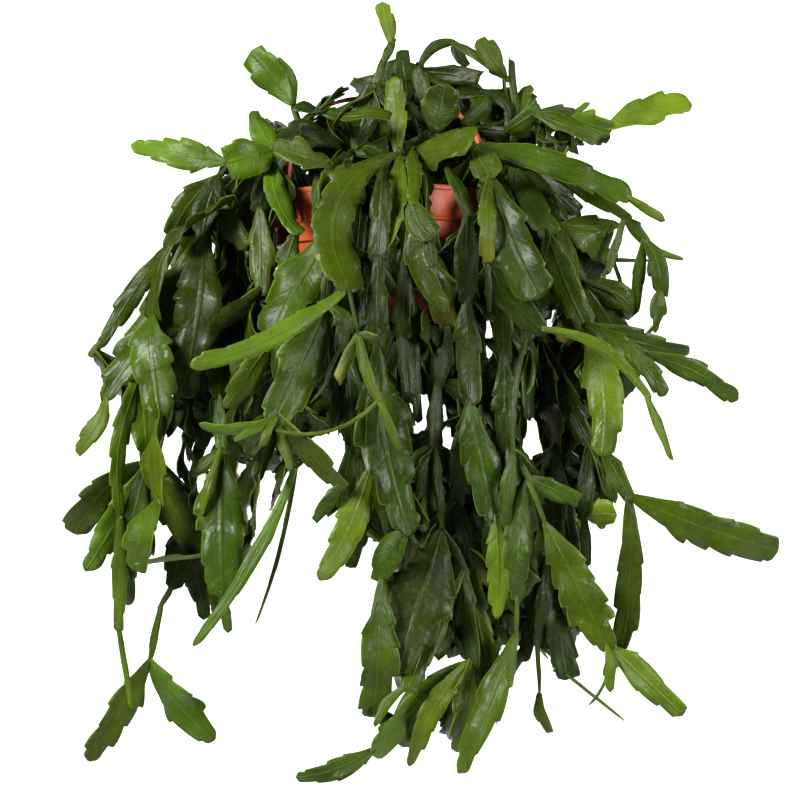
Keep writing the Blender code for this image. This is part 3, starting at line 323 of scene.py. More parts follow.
def skin_colour(tree, place, along, off_rib):
    # The age attribute is also lowered in the middle of the plant, where the darker green is painted
    # shade.
    age = attribute(tree, "age")
    mottle = remap(tree, noise(tree, place, 420, 3, 0.6), 0.45, 0.75, 0.0, 0.1)
    # The edge's paleness: partly its own colour, partly painted light through the thin edges.
    edge_paleness_and_rim_light = times(tree, remap(tree, noise(tree, place, 25, 2), 0.35, 0.6, 0.1, 0.7),
                   remap(tree, age, -0.5, 1.5, 0.3, 1.0))
    cork = times(tree, remap(tree, off_rib, 0.0, 0.22, 1.0, 0.0), attribute(tree, "cork"))
    colour = age_green(tree, place, age)
    for share, paint in (
        (mottle, PALE_GREEN_AND_RIM_LIGHT),
        (remap(tree, off_rib, 0.0, 0.05, 0.12, 0.0), PALE_GREEN_AND_RIM_LIGHT),
        # The thin pale edge: partly the margin's own colour, partly painted light shining through it.
        (times(tree, remap(tree, off_rib, 0.92, 0.99), edge_paleness_and_rim_light), PALE_GREEN_AND_RIM_LIGHT),
        (times(tree, attribute(tree, "blush"), remap(tree, along, 0.55, 1.0)), BLUSH),
        (times(tree, cork, remap(tree, noise(tree, place, 110, 4, 0.7), 0.45, 0.6)), CORK),
        (times(tree, remap(tree, along, 0.0, 0.05, 0.8, 0.0),
               remap(tree, age, 0.3, 1.6, 1.0, 0.0)), BARK),
        (times(tree, remap(tree, cells(tree, place, 300.0), 0.06, 0.1, 0.5, 0.0),
               remap(tree, noise(tree, place, 60, 1), 0.5, 0.6)), SPECK),
    ):
        colour = mixed(tree, share, colour, paint)
    return colour


# %% [markdown]
# The skin is waxy. Its highlights are broad and soft, because the surface has fine wrinkles that run
# out from the joints, low swellings between the veins, and a ridge and a groove at the midrib. All go
# into the bump. The thin flesh also passes some light, which a little subsurface scattering gives.

# %% Make the skin's finish
WRINKLE_SLANT = 0.12


def skin_height(tree, place, along, off_rib, vein):
    """The skin's small relief: swellings, the midrib's ridge and groove, wrinkles and grain."""
    run = maths(tree, "SUBTRACT", along, times(tree, off_rib, WRINKLE_SLANT))
    stretched = add_node(tree, "ShaderNodeCombineXYZ", i0=times(tree, off_rib, 3.0),
                         i1=times(tree, run, 26.0), i2=times(tree, attribute(tree, "tint"), 40.0))
    height = times(tree, remap(tree, vein, 0.0, 0.3), 0.35)
    for part in (
        remap(tree, off_rib, 0.03, 0.13, 0.6, 0.0),
        remap(tree, off_rib, 0.1, 0.35, 0.0, 0.5),
        times(tree, noise(tree, stretched.outputs[0], 1.0, 3), 1.1),
        times(tree, noise(tree, place, 700, 2), 0.12),
    ):
        height = maths(tree, "ADD", height, part)
    return height


def make_skin():
    made, tree, shader, place = new_material("leaf_green")
    along, off_rib, vein = blade_places(tree)
    rough = remap(tree, noise(tree, place, 70, 3), 0.3, 0.7, 0.3, 0.5)
    coat(tree, shader, skin_colour(tree, place, along, off_rib), rough, 0.6, 0.6 * MM,
         skin_height(tree, place, along, off_rib, vein))
    for socket, value in (("Specular IOR Level", 0.3), ("Subsurface Weight", 0.1),
                          ("Subsurface Radius", (0.8, 1.0, 0.15)), ("Subsurface Scale", 1.2 * MM)):
        shader.inputs[socket].default_value = value
    return made


skin = make_skin()
print("Made the finish", skin.name)


# %% [markdown]
# ## The pot
#
# The pot is one thin moulded wall: a tapered body, a step, and a tall rim band with a ridge above its
# lower edge and a rounded lip. A potter would throw it, and the same works here. A disc is extruded
# ring by ring up the outside, over the lip, down the inside and across the floor, so the whole wall is
# one closed skin. The drain holes are then cut through the floor.

# %% Draw a round piece ring by ring
def turn_up(profile, sides):
    """A closed round piece from a profile of (radius, height), which starts and ends off the axis."""
    start_clean()
    radius, height = profile[0]
    bpy.ops.mesh.primitive_circle_add(vertices=sides, radius=radius, fill_type="NGON",
                                      location=(0, 0, height))
    piece = bpy.context.object
    bpy.ops.object.mode_set(mode="EDIT")
    for (radius, height), (next_radius, next_height) in zip(profile, profile[1:]):
        lift = (0, 0, next_height - height)
        bpy.ops.mesh.extrude_region_move(TRANSFORM_OT_translate={"value": lift})
        grow = next_radius / radius
        bpy.ops.transform.resize(value=(grow, grow, 1), center_override=(0, 0, next_height))
    bpy.ops.mesh.select_all(action="SELECT")
    bpy.ops.mesh.normals_make_consistent(inside=False)
    bpy.ops.object.mode_set(mode="OBJECT")
    return piece


def arc(centre, radius, first, last, steps):
    """Points of a profile along an arc, from the first angle to the last in degrees."""
    points = []
    for i in range(steps + 1):
        turn = math.radians(first + (last - first) * i / steps)
        points.append((centre[0] + radius * math.cos(turn), centre[1] + radius * math.sin(turn)))
    return points


# %% Turn the pot
WALL = 2 * MM
RIM_HEIGHT = 111 * MM
RIM_BOTTOM_HEIGHT = 79 * MM
RIM_BOTTOM_RADIUS = 69 * MM
RIM_RIDGE_HEIGHT = 91 * MM
BODY_TOP_RADIUS = 67 * MM
BASE_RADIUS = 51 * MM
POT_SIDES = 112
FLOOR = 1.25 * WALL
RIDGE = 0.9 * MM


def body_radius(height):
    return BASE_RADIUS + height / RIM_BOTTOM_HEIGHT * (BODY_TOP_RADIUS - BASE_RADIUS)


foot = arc((body_radius(2 * MM) - 2 * MM, 2 * MM), 2 * MM, -90, 0, 4)
ridge = arc((RIM_RADIUS - RIDGE, RIM_RIDGE_HEIGHT), RIDGE, -60, 60, 4)
lip = arc((RIM_RADIUS - WALL / 2, RIM_HEIGHT - WALL / 2), WALL / 2, 0, 180, 8)
pot_profile = [
    (BASE_RADIUS - 12 * MM, 0.8 * MM),
    (BASE_RADIUS - 10 * MM, 0),
    *foot,
    (BODY_TOP_RADIUS, RIM_BOTTOM_HEIGHT),
    (RIM_BOTTOM_RADIUS - 0.3 * MM, RIM_BOTTOM_HEIGHT),
    (RIM_BOTTOM_RADIUS, RIM_BOTTOM_HEIGHT + 0.4 * MM),
    (RIM_RADIUS - 1.1 * MM, RIM_RIDGE_HEIGHT - 1.6 * MM),
    *ridge,
    (RIM_RADIUS - 0.9 * MM, RIM_RIDGE_HEIGHT + 1.6 * MM),
    (RIM_RADIUS - 0.6 * MM, RIM_HEIGHT - 3.4 * MM),
    (RIM_RADIUS, RIM_HEIGHT - 2.6 * MM),
    *lip,
    (RIM_RADIUS - WALL, RIM_HEIGHT - 4 * MM),
    (RIM_BOTTOM_RADIUS - WALL, RIM_BOTTOM_HEIGHT + WALL),
    (BODY_TOP_RADIUS - WALL, RIM_BOTTOM_HEIGHT - WALL),
    (body_radius(FLOOR) - WALL, FLOOR),
]
pot = turn_up(pot_profile, POT_SIDES)
print("The pot's wall has", len(pot_profile), "rings")


# %% [markdown]
# The holes follow the packed pot: four in a ring.

# %% Cut the drain holes
DRAIN_HOLES = 4
DRAIN_RING_RADIUS = 33 * MM
DRAIN_RADIUS = 4 * MM
DRAIN_SIDES = 24
CREASE = 35


def combine(piece, other, operation):
    """Cuts another shape out of a piece, or unites it with the piece, and removes the other.

    A rod may cross itself, which a union has to be told.
    """
    modifier = piece.modifiers.new("Combine", "BOOLEAN")
    modifier.operation = operation
    modifier.solver = "EXACT"
    modifier.use_self = operation == "UNION"
    modifier.object = other
    apply_modifiers(piece)
    bpy.data.objects.remove(other)


def finish_plastic(piece, name, node, crease):
    """Finishes a moulded piece, whose edges stay sharp where they turn by more than the crease."""
    finish_piece(piece, name, plastic, node)
    bpy.ops.object.shade_smooth_by_angle(angle=math.radians(crease))


for i in range(DRAIN_HOLES):
    turn = math.tau * (i + 0.5) / DRAIN_HOLES
    start_clean()
    bpy.ops.mesh.primitive_cylinder_add(
        vertices=DRAIN_SIDES, radius=DRAIN_RADIUS, depth=4 * FLOOR,
        location=(DRAIN_RING_RADIUS * math.cos(turn), DRAIN_RING_RADIUS * math.sin(turn), FLOOR))
    combine(pot, bpy.context.object, "DIFFERENCE")
finish_plastic(pot, "hanging_pot", "pot", CREASE)


# %% [markdown]
# ## The hanger
#
# Three bowed straps are clipped over the rim and meet in a hub with an open hook. Leaves hide nearly
# all of it. A strap starts as a narrow grid, which is laid along the bow, given a thickness, and
# rounded at its edges with a bevel.

# %% Bow the straps
ARM_ANGLES = (90, 210, 330)
ARM_WIDTH = 5 * MM
ARM_THICKNESS = 2.4 * MM
ARM_TOP = 172 * MM
ARM_BULGE_POWER = 2.5
CLIP_DROP = 9 * MM
CLIP_THICKNESS = 1.8 * MM
CLIP_WIDTH = 8 * MM
GAP = 0.4 * MM
HUB_RADIUS = 9.5 * MM
HUB_HEIGHT = 7 * MM
HUB_SLOT_DEPTH = 3.5 * MM
BOW_STEPS = 28
BOW_LIMIT = 0.97
STRAIGHT_FROM, STRAIGHT_SHARE = 0.9, 0.1
STRAP_EDGE, BLOCK_EDGE = 0.5 * MM, 0.45 * MM
BRIDGE_OVERLAP, BRIDGE_SHARE = 0.6, 0.94


def bow_point(share):
    """Radius and height of a strap's middle line, from the rim at 0 to the hub at 1."""
    turn = math.radians(90) * min(share, BOW_LIMIT)
    reach = RIM_RADIUS - WALL / 2
    bottom = RIM_HEIGHT + GAP
    radius = reach * math.cos(turn) ** (2 / ARM_BULGE_POWER)
    height = bottom + (ARM_TOP - bottom) * math.sin(turn) ** (2 / ARM_BULGE_POWER)
    last = HUB_RADIUS - HUB_SLOT_DEPTH + GAP
    late = max(0.0, (share - STRAIGHT_FROM) / STRAIGHT_SHARE)
    return radius * (1 - late) + last * late, height * (1 - late) + ARM_TOP * late


def soften(piece, width):
    """Rounds a piece's sharp edges."""
    soft = piece.modifiers.new("Soft edges", "BEVEL")
    soft.width = width
    soft.segments = 2
    soft.limit_method = "ANGLE"
    apply_modifiers(piece)


def make_strap():
    start_clean()
    bpy.ops.mesh.primitive_grid_add(x_subdivisions=BOW_STEPS, y_subdivisions=2, size=1)
    strap = bpy.context.object
    for vertex in strap.data.vertices:
        radius, height = bow_point(vertex.co.x + 0.5)
        vertex.co = (radius, vertex.co.y * ARM_WIDTH, height)
    solid = strap.modifiers.new("Thickness", "SOLIDIFY")
    solid.thickness = ARM_THICKNESS
    solid.offset = 0
    soften(strap, STRAP_EDGE)
    return strap


def add_block(size, place):
    """A box with softened edges."""
    start_clean()
    bpy.ops.mesh.primitive_cube_add(size=1, location=place, scale=size)
    block = bpy.context.object
    bpy.ops.object.transform_apply(location=True, rotation=True, scale=True)
    soften(block, BLOCK_EDGE)
    return block


for number, degrees in enumerate(ARM_ANGLES, 1):
    strap = make_strap()
    leg = CLIP_DROP + CLIP_THICKNESS
    low = RIM_HEIGHT + GAP + CLIP_THICKNESS - leg / 2
    outer = RIM_RADIUS + GAP + CLIP_THICKNESS / 2
    inner = RIM_RADIUS - WALL - 2 * GAP - CLIP_THICKNESS / 2
    span = outer - inner + BRIDGE_OVERLAP * CLIP_THICKNESS
    bridge = (span, BRIDGE_SHARE * CLIP_WIDTH, CLIP_THICKNESS)
    for block in (
        add_block((CLIP_THICKNESS, CLIP_WIDTH, leg), (outer, 0, low)),
        add_block((CLIP_THICKNESS, CLIP_WIDTH, leg), (inner, 0, low)),
        add_block(bridge, ((outer + inner) / 2, 0, RIM_HEIGHT + GAP + CLIP_THICKNESS / 2)),
    ):
        combine(strap, block, "UNION")
    strap.data.transform(Matrix.Rotation(math.radians(degrees), 4, "Z"))
    finish_plastic(strap, f"hanger_strap_{number}", f"hanger_arm_{number}", CREASE)


# %% [markdown]
# The hub is a short disc with a softened edge and a slot for each strap. The hook is a round rod that
# rises from it and turns through most of a circle. A rod is a circle extruded along a path: each new
# ring is placed square to the path, so the rod keeps its thickness all the way round.

# %% Make the hub and its hook
HOOK_WIRE_RADIUS = 1.8 * MM
HOOK_LOOP_RADIUS = 7.5 * MM
HOOK_NECK = 2 * MM
HOOK_TURN = 245
HOOK_STEPS = 26
HOOK_SIDES = 12
HUB_SIDES = 48
HUB_EDGE = 1.2 * MM
HUB_CREASE = 40


def draw_rod(path, radius, sides, across):
    """A rod along a path that lies square to the direction across."""
    start_clean()
    bpy.ops.mesh.primitive_circle_add(vertices=sides, radius=radius, fill_type="NGON")
    rod = bpy.context.object
    ring = [vertex.co.copy() for vertex in rod.data.vertices]
    bpy.ops.object.mode_set(mode="EDIT")
    mesh = bmesh.from_edit_mesh(rod.data)
    for i, point in enumerate(path):
        if i:
            bpy.ops.mesh.extrude_region_move()
            mesh = bmesh.from_edit_mesh(rod.data)
        along = (path[min(i + 1, len(path) - 1)] - path[max(i - 1, 0)]).normalized()
        out = across.cross(along)
        mesh.verts.ensure_lookup_table()
        for corner, vertex in zip(ring, mesh.verts[-sides:]):
            vertex.co = point + across * corner.x + out * corner.y
        bmesh.update_edit_mesh(rod.data)
    bpy.ops.mesh.select_all(action="SELECT")
    bpy.ops.mesh.normals_make_consistent(inside=False)
    bpy.ops.object.mode_set(mode="OBJECT")
    return rod


hub_top = ARM_TOP + HUB_HEIGHT / 2
hub = turn_up([
    (HUB_RADIUS - 1 * MM, ARM_TOP - HUB_HEIGHT / 2),
    (HUB_RADIUS, ARM_TOP - HUB_HEIGHT / 2 + 1 * MM),
    *arc((HUB_RADIUS - HUB_EDGE, hub_top - HUB_EDGE), HUB_EDGE, 0, 90, 5),
    (3.2 * MM, hub_top),
    (2.4 * MM, hub_top + 0.6 * MM),
], HUB_SIDES)
for degrees in ARM_ANGLES:
    size = (2 * HUB_SLOT_DEPTH, ARM_WIDTH + 2 * GAP, ARM_THICKNESS + 2 * GAP)
    slot_tool = add_block(size, (0, 0, 0))
    slot_tool.data.transform(Matrix.Translation((HUB_RADIUS, 0, ARM_TOP)))
    slot_tool.data.transform(Matrix.Rotation(math.radians(degrees), 4, "Z"))
    combine(hub, slot_tool, "DIFFERENCE")
loop_centre = Vector((0, 0, hub_top + HOOK_NECK + HOOK_LOOP_RADIUS))
hook_path = [Vector((0, 0, hub_top - 2 * MM)), Vector((0, 0, hub_top + 0.5 * MM))]
for i in range(HOOK_STEPS + 1):
    turn = math.radians(-90 + HOOK_TURN * i / HOOK_STEPS)
    hook_path.append(loop_centre + HOOK_LOOP_RADIUS * Vector((0, math.cos(turn), math.sin(turn))))
combine(hub, draw_rod(hook_path, HOOK_WIRE_RADIUS, HOOK_SIDES, Vector((1, 0, 0))), "UNION")
finish_plastic(hub, "hanger_hub", "hanger_hook", HUB_CREASE)


# %% [markdown]
# ## The soil
#
# The soil fills the pot to a little under its rim and stands in a low hump. A turned body gives the
# form, and its top is a grid fine enough for lumps a few millimetres across to be real ones.

# %% Fill the pot with soil
SOIL_HEIGHT = 97 * MM
SOIL_HUMP = 3 * MM
SOIL_TOP = SOIL_HEIGHT + SOIL_HUMP
SOIL_SHOULDER_RADIUS = 58 * MM
SOIL_RINGS = 22
SOIL_SIDES = 120
LUMP = 0.7 * MM
LUMP_WAVES = (410, 190, 370)
CRUMBS = (-0.9, 0.5)
SOIL_SEED = 7

soil_side = BODY_TOP_RADIUS - WALL - 2 * GAP
soil_profile = [
    (body_radius(FLOOR) - WALL - 3 * GAP, FLOOR + GAP),
    (soil_side, RIM_BOTTOM_HEIGHT - WALL),
    (soil_side, SOIL_HEIGHT - 3 * MM),
]
for i in range(SOIL_RINGS):
    radius = soil_side * (1 - i / SOIL_RINGS)
    hump = min(1.0, (soil_side - radius) / (soil_side - SOIL_SHOULDER_RADIUS))
    soil_profile.append((radius, SOIL_HEIGHT + SOIL_HUMP * hump))
soil = turn_up(soil_profile, SOIL_SIDES)
rng = np.random.default_rng(SOIL_SEED)
one, two, three = LUMP_WAVES
for vertex in soil.data.vertices:
    place = vertex.co
    if place.z > SOIL_HEIGHT - 1 * MM:
        lumps = math.sin(place.x * one + 3 * math.sin(place.y * two)) * math.sin(place.y * three)
        place.z += LUMP * lumps + rng.uniform(*CRUMBS) * MM
finish_piece(soil, "pot_soil", soil_finish, "soil")
bpy.ops.object.shade_smooth()


# %% [markdown]
# ## Where the segments are
#
# The packed plant was grown from a table and a few rules, and the same table and rules grow it here,
# segment by segment, so that each fine blade lies where its plain one does. A row says which segment
# it grows from, where its tip is seen in the front view, how deep that tip is, how wide the segment
# looks, how old it is and, for some, how it bows. The first number is a row of the same stem, counted
# from 0.

# %% The stems that the front shows
SOIL = -1

Shown = namedtuple("Shown", "after across down depth width age bend", defaults=(0.0,))
Shown.__doc__ = """One segment that the front shows.

It grows from the segment in row after, or from the soil. across and down give its tip's place in
the front view and width its width there, and depth is the tip's depth in millimetres behind the
pot's axis. age runs from 0, old and dark, to 3, young and pale. bend bows it sideways.
"""

SHOWN_STEMS = {
    "stem_front_mid": (
        (SOIL, 400, 147, -62, 14, 1), (0, 352, 293, -118, 45, 1, 0.22),
        (1, 190, 366, -150, 21, 2, -0.06), (1, 360, 342, -122, 4, 1), (3, 378, 338, -126, 11, 2),
        (3, 337, 380, -124, 13, 2), (3, 383, 407, -127, 12, 2, 0.05), (6, 400, 452, -128, 10, 2),
        (6, 275, 430, -130, 4, 2, -0.15), (0, 385, 250, -100, 20, 2, -0.05),
        (0, 394, 77, -52, 22, 2),
    ),
    "stem_front_round": (
        (SOIL, 413, 147, -58, 12, 1), (0, 404, 214, -90, 17, 1), (0, 427, 212, -84, 18, 0, -0.05),
        (0, 473, 141, -92, 39, 1), (1, 433, 238, -100, 31, 1, 0.1), (4, 432, 268, -102, 14, 1),
        (5, 455, 282, -104, 4, 1), (1, 448, 313, -92, 28, 1, 0.08),
    ),
    "stem_crown_left": (
        (SOIL, 357, 145, -46, 12, 1), (0, 377, 83, -44, 31, 0), (1, 384, 59, -40, 9, 1),
        (2, 394, 38, -38, 9, 1), (3, 382, 2, -36, 19, 3), (1, 352, 81, 0, 16, 0),
        (0, 328, 168, -74, 9, 0), (6, 272, 145, -66, 26, 1), (6, 322, 215, -86, 27, 1),
    ),
    "stem_crown_mid": (
        (SOIL, 438, 127, -45, 12, 0), (0, 445, 83, -50, 44, 1), (0, 405, 100, -18, 10, 0),
        (2, 402, 50, -14, 24, 0), (2, 421, 64, -12, 12, 0), (4, 459, 43, -14, 11, 1, -0.22),
        (5, 466, 67, -18, 14, 0), (5, 510, 82, -24, 10, 1), (7, 477, 40, -34, 21, 1),
        (4, 480, 78, -30, 18, 0), (0, 416, 66, -34, 20, 0),
    ),
    "stem_crown_right": (
        (SOIL, 470, 125, -25, 12, 0), (0, 512, 133, -34, 14, 0), (1, 479, 92, -30, 13, 0, 0.33),
        (1, 541, 110, -42, 20, 1), (1, 519, 113, -20, 9, 0), (4, 531, 85, -14, 16, 1, -0.05),
        (4, 511, 60, -18, 8, 1), (3, 577, 117, -32, 20, 1), (7, 589, 102, -34, 7, 2),
        (7, 612, 130, -28, 27, 2, 0.05), (9, 692, 105, -22, 33, 3, -0.06),
        (3, 598, 142, -50, 20, 1),
    ),
    "stem_right_arch": (
        (SOIL, 473, 143, -72, 10, 0), (0, 632, 200, -66, 28, 1, -0.06), (1, 665, 221, -64, 10, 2),
        (0, 556, 176, -50, 10, 0), (3, 631, 222, -52, 17, 1, -0.03), (4, 649, 244, -51, 14, 1),
        (5, 660, 295, -50, 21, 1, -0.08), (6, 655, 333, -50, 16, 1), (5, 634, 315, -42, 13, 1),
        (4, 607, 275, -56, 9, 1), (5, 683, 258, -46, 7, 2, 0.1),
    ),
    "stem_right_front": (
        (SOIL, 478, 147, -80, 12, 1), (0, 493, 179, -98, 30, 1), (1, 540, 298, -116, 46, 1, 0.03),
        (1, 488, 270, -108, 19, 2, 0.03), (3, 547, 333, -104, 33, 0, 0.05),
        (4, 650, 401, -112, 12, 2, -0.13), (5, 671, 460, -112, 10, 2), (3, 489, 313, -100, 7, 1),
    ),
    "stem_right_pale": (
        (SOIL, 515, 160, -55, 10, 0), (0, 550, 236, -84, 28, 1), (1, 587, 331, -92, 31, 1, 0.03),
        (2, 601, 456, -106, 37, 2, -0.09), (3, 632, 501, -106, 22, 1),
        (4, 778, 550, -100, 41, 1, 0.03), (4, 621, 655, -96, 28, 1, -0.03),
        (2, 665, 396, -98, 22, 1, -0.08), (2, 689, 353, -70, 26, 1, 0.03),
        (2, 650, 356, -74, 10, 1), (9, 738, 400, -78, 22, 1, -0.06),
    ),
    "stem_right_ribbed": (
        (SOIL, 530, 158, -25, 12, 0), (0, 561, 232, -58, 15, 0), (1, 574, 311, -74, 28, 1),
        (1, 621, 225, -40, 21, 1), (1, 616, 262, -28, 25, 1), (4, 649, 261, -30, 4, 1),
        (0, 578, 214, -8, 24, 0), (1, 585, 288, -48, 12, 0), (7, 622, 341, -34, 33, 1),
        (7, 634, 312, -44, 28, 1, -0.1), (0, 548, 232, -46, 32, 0),
    ),
    "stem_right_low": (
        (SOIL, 500, 165, -40, 10, 0), (0, 512, 250, -62, 24, 0), (1, 527, 345, -84, 26, 0),
        (2, 514, 458, -96, 7, 1, 0.05), (3, 503, 529, -98, 16, 1), (3, 531, 486, -92, 9, 1),
        (5, 518, 602, -100, 28, 1, 0.05), (6, 516, 641, -104, 4, 1), (7, 458, 773, -116, 31, 1),
        (5, 547, 529, -96, 5, 1), (9, 611, 652, -102, 45, 1), (10, 683, 715, -100, 30, 2),
        (10, 610, 692, -104, 15, 2), (10, 588, 706, -100, 4, 2, -0.15), (5, 579, 501, -88, 22, 1),
    ),
    "stem_right_inner": (
        (SOIL, 520, 150, 0, 10, 0), (0, 528, 240, -30, 22, 0), (1, 540, 345, -55, 28, 0),
        (2, 592, 448, -68, 26, 0), (3, 584, 521, -70, 18, 0), (4, 617, 515, -74, 31, 3),
        (4, 588, 566, -68, 10, 0), (2, 556, 452, -46, 27, 0), (7, 571, 550, -60, 22, 0),
        (7, 547, 560, -48, 26, 0), (9, 566, 680, -62, 31, 0), (10, 625, 721, -62, 3, 2),
        (9, 522, 662, -52, 26, 0), (9, 536, 645, -60, 14, 0), (13, 540, 700, -62, 5, 1),
        (14, 550, 733, -62, 13, 2, 0.1),
    ),
    "stem_mid_dark": (
        (SOIL, 450, 162, -72, 10, 0), (0, 470, 216, -92, 13, 1), (1, 466, 305, -86, 24, 0),
        (2, 470, 407, -92, 30, 1), (3, 497, 521, -98, 38, 1, 0.03),
        (4, 496, 619, -98, 27, 3, -0.03), (3, 456, 508, -84, 24, 0), (6, 472, 558, -92, 21, 0),
        (7, 494, 688, -100, 25, 2, 0.03), (2, 487, 407, -78, 20, 0), (6, 444, 545, -80, 20, 0),
    ),
    "stem_front_low": (
        (SOIL, 383, 168, -80, 10, 0), (0, 378, 262, -92, 24, 0), (1, 376, 352, -98, 22, 0),
        (2, 411, 537, -116, 52, 1, 0.05), (3, 381, 583, -108, 28, 1, 0.1),
        (4, 374, 717, -108, 35, 1), (2, 371, 471, -102, 14, 0), (6, 319, 580, -122, 33, 2, -0.05),
        (6, 350, 568, -104, 20, 0), (6, 391, 546, -100, 11, 0),
    ),
    "stem_low_mid": (
        (SOIL, 420, 168, -78, 9, 0), (0, 423, 240, -80, 12, 0), (1, 450, 330, -80, 28, 0),
        (2, 436, 390, -84, 22, 0), (3, 433, 454, -90, 16, 0), (4, 424, 507, -96, 29, 1),
        (4, 442, 535, -94, 10, 0), (6, 397, 674, -126, 62, 0), (6, 467, 575, -100, 12, 0),
        (8, 408, 691, -130, 30, 1, 0.03), (9, 375, 727, -130, 11, 2, 0.1),
        (8, 472, 668, -106, 22, 0), (11, 371, 754, -128, 40, 2, 0.03),
        (12, 296, 777, -132, 22, 1, -0.06), (11, 409, 766, -112, 24, 2, 0.08),
        (11, 457, 752, -108, 31, 1), (11, 481, 703, -100, 17, 0),
    ),
    "stem_front_left": (
        (SOIL, 347, 158, -68, 10, 0), (0, 330, 238, -92, 22, 0), (1, 271, 345, -108, 50, 1, 0.03),
        (1, 326, 312, -102, 14, 0), (3, 272, 425, -120, 50, 1), (4, 199, 424, -128, 12, 2, -0.1),
        (4, 234, 441, -124, 10, 2), (4, 261, 447, -122, 8, 2), (4, 291, 472, -124, 10, 2),
        (4, 345, 490, -118, 25, 1), (9, 314, 521, -116, 15, 1), (3, 337, 352, -108, 18, 1, -0.25),
        (11, 289, 411, -112, 10, 0, -0.12), (2, 225, 408, -104, 26, 2), (2, 231, 373, -102, 18, 1),
    ),
    "stem_left_front": (
        (SOIL, 342, 142, -34, 12, 0), (0, 268, 157, -52, 30, 0, 0.22), (1, 252, 111, -48, 25, 2),
        (1, 226, 163, -62, 42, 2), (1, 300, 235, -82, 23, 2, 0.1), (4, 284, 269, -86, 21, 1),
        (1, 258, 213, -46, 22, 0), (6, 262, 296, -60, 26, 1), (7, 208, 331, -92, 17, 0),
    ),
    "stem_left_high": (
        (SOIL, 300, 128, -5, 12, 0), (0, 224, 165, -22, 20, 1), (1, 131, 145, -14, 32, 3),
        (1, 213, 181, -20, 6, 0), (3, 166, 252, -24, 28, 1, 0.08), (4, 98, 348, -30, 22, 1, 0.02),
        (5, 89, 357, -30, 9, 2), (4, 162, 286, -28, 9, 1), (3, 202, 242, -32, 31, 0, 0.03),
        (8, 102, 401, -48, 43, 1, -0.03), (9, 76, 452, -48, 21, 2, -0.1),
        (8, 181, 397, -54, 48, 0, -0.06), (3, 221, 210, -26, 10, 0), (12, 246, 250, -36, 24, 1),
        (0, 291, 99, -2, 7, 1), (14, 251, 51, 2, 34, 2, 0.03), (14, 278, 58, -6, 8, 1, 0.15),
    ),
    "stem_left_low": (
        (SOIL, 268, 140, 20, 12, 0), (0, 208, 205, 14, 22, 0), (1, 172, 300, -6, 30, 0),
        (2, 145, 366, -34, 20, 0), (3, 150, 468, -48, 33, 2, 0.03), (4, 75, 534, -46, 31, 1, 0.1),
        (4, 85, 571, -54, 32, 2, -0.02), (4, 128, 605, -40, 27, 1, 0.03),
        (4, 209, 550, -50, 40, 1, 0.05), (4, 189, 527, -34, 12, 0), (9, 172, 590, -40, 28, 0),
        (10, 158, 611, -42, 7, 1), (11, 149, 666, -44, 9, 1), (12, 88, 761, -50, 28, 1),
        (12, 215, 740, -44, 38, 2, 0.05), (9, 204, 620, -30, 26, 0),
        (3, 121, 522, -58, 18, 2, 0.05), (16, 118, 632, -58, 16, 2), (17, 131, 708, -58, 7, 2),
    ),
    "stem_left_mid": (
        (SOIL, 285, 150, 5, 12, 0), (0, 232, 240, -8, 26, 0), (1, 228, 322, -30, 24, 0),
        (2, 218, 400, -50, 44, 1), (3, 222, 456, -66, 16, 1), (4, 222, 597, -80, 50, 1),
        (4, 190, 478, -66, 13, 1), (4, 200, 519, -70, 10, 2), (1, 229, 283, -16, 11, 0),
        (8, 223, 323, -18, 10, 0), (3, 191, 478, -40, 15, 0), (5, 228, 633, -80, 12, 1),
        (2, 257, 400, -60, 26, 0),
    ),
    "stem_left_needle": (
        (SOIL, 318, 160, -66, 10, 0), (0, 325, 262, -80, 22, 0), (1, 290, 365, -96, 26, 0),
        (2, 297, 468, -104, 20, 0), (3, 193, 646, -116, 14, 2, -0.05),
        (3, 255, 625, -108, 5, 1, -0.03), (2, 257, 482, -90, 16, 0),
    ),
    "stem_mid_left": (
        (SOIL, 365, 160, -78, 8, 0), (0, 356, 255, -84, 22, 0), (1, 345, 350, -94, 24, 0),
        (2, 352, 450, -100, 26, 1), (3, 341, 511, -102, 21, 1), (2, 333, 426, -100, 15, 0),
    ),
    "stem_mid": (
        (SOIL, 412, 160, -84, 8, 0), (0, 405, 262, -88, 22, 0), (1, 402, 340, -92, 18, 0),
        (2, 408, 396, -98, 16, 0), (1, 418, 423, -90, 14, 0),
    ),
    "stem_mid_right": (
        (SOIL, 490, 160, -58, 8, 0), (0, 498, 262, -80, 26, 0), (1, 503, 360, -86, 24, 0),
        (2, 508, 455, -88, 26, 0), (3, 490, 560, -86, 24, 0), (3, 530, 560, -84, 26, 0),
    ),
}
SHOWN_STEMS = {name: [Shown(*row) for row in rows] for name, rows in SHOWN_STEMS.items()}
print("The front shows", sum(len(rows) for rows in SHOWN_STEMS.values()), "segments")


# %% [markdown]
# A place in the front view and a depth give one point in space, on the line from the eye through that
# place. Further away, a pixel covers more of the plant.

# %% Turn places in the view into points, and back
def view_scale(depth):
    return VIEW_SCALE * (EYE_DISTANCE + depth) / EYE_DISTANCE


def seen_at(across, down, depth):
    """The point that the front view shows at a place in it, at a depth behind the pot's axis."""
    scale = view_scale(depth)
    return Vector((
        eye_x + (across - VIEW_CENTRE[0]) * scale,
        depth,
        eye_z - (down - VIEW_CENTRE[1]) * scale,
    ))


def seen_place(point):
    """Where the front view shows a point."""
    scale = view_scale(point.y)
    return (VIEW_CENTRE[0] + (point.x - eye_x) / scale, VIEW_CENTRE[1] - (point.z - eye_z) / scale)


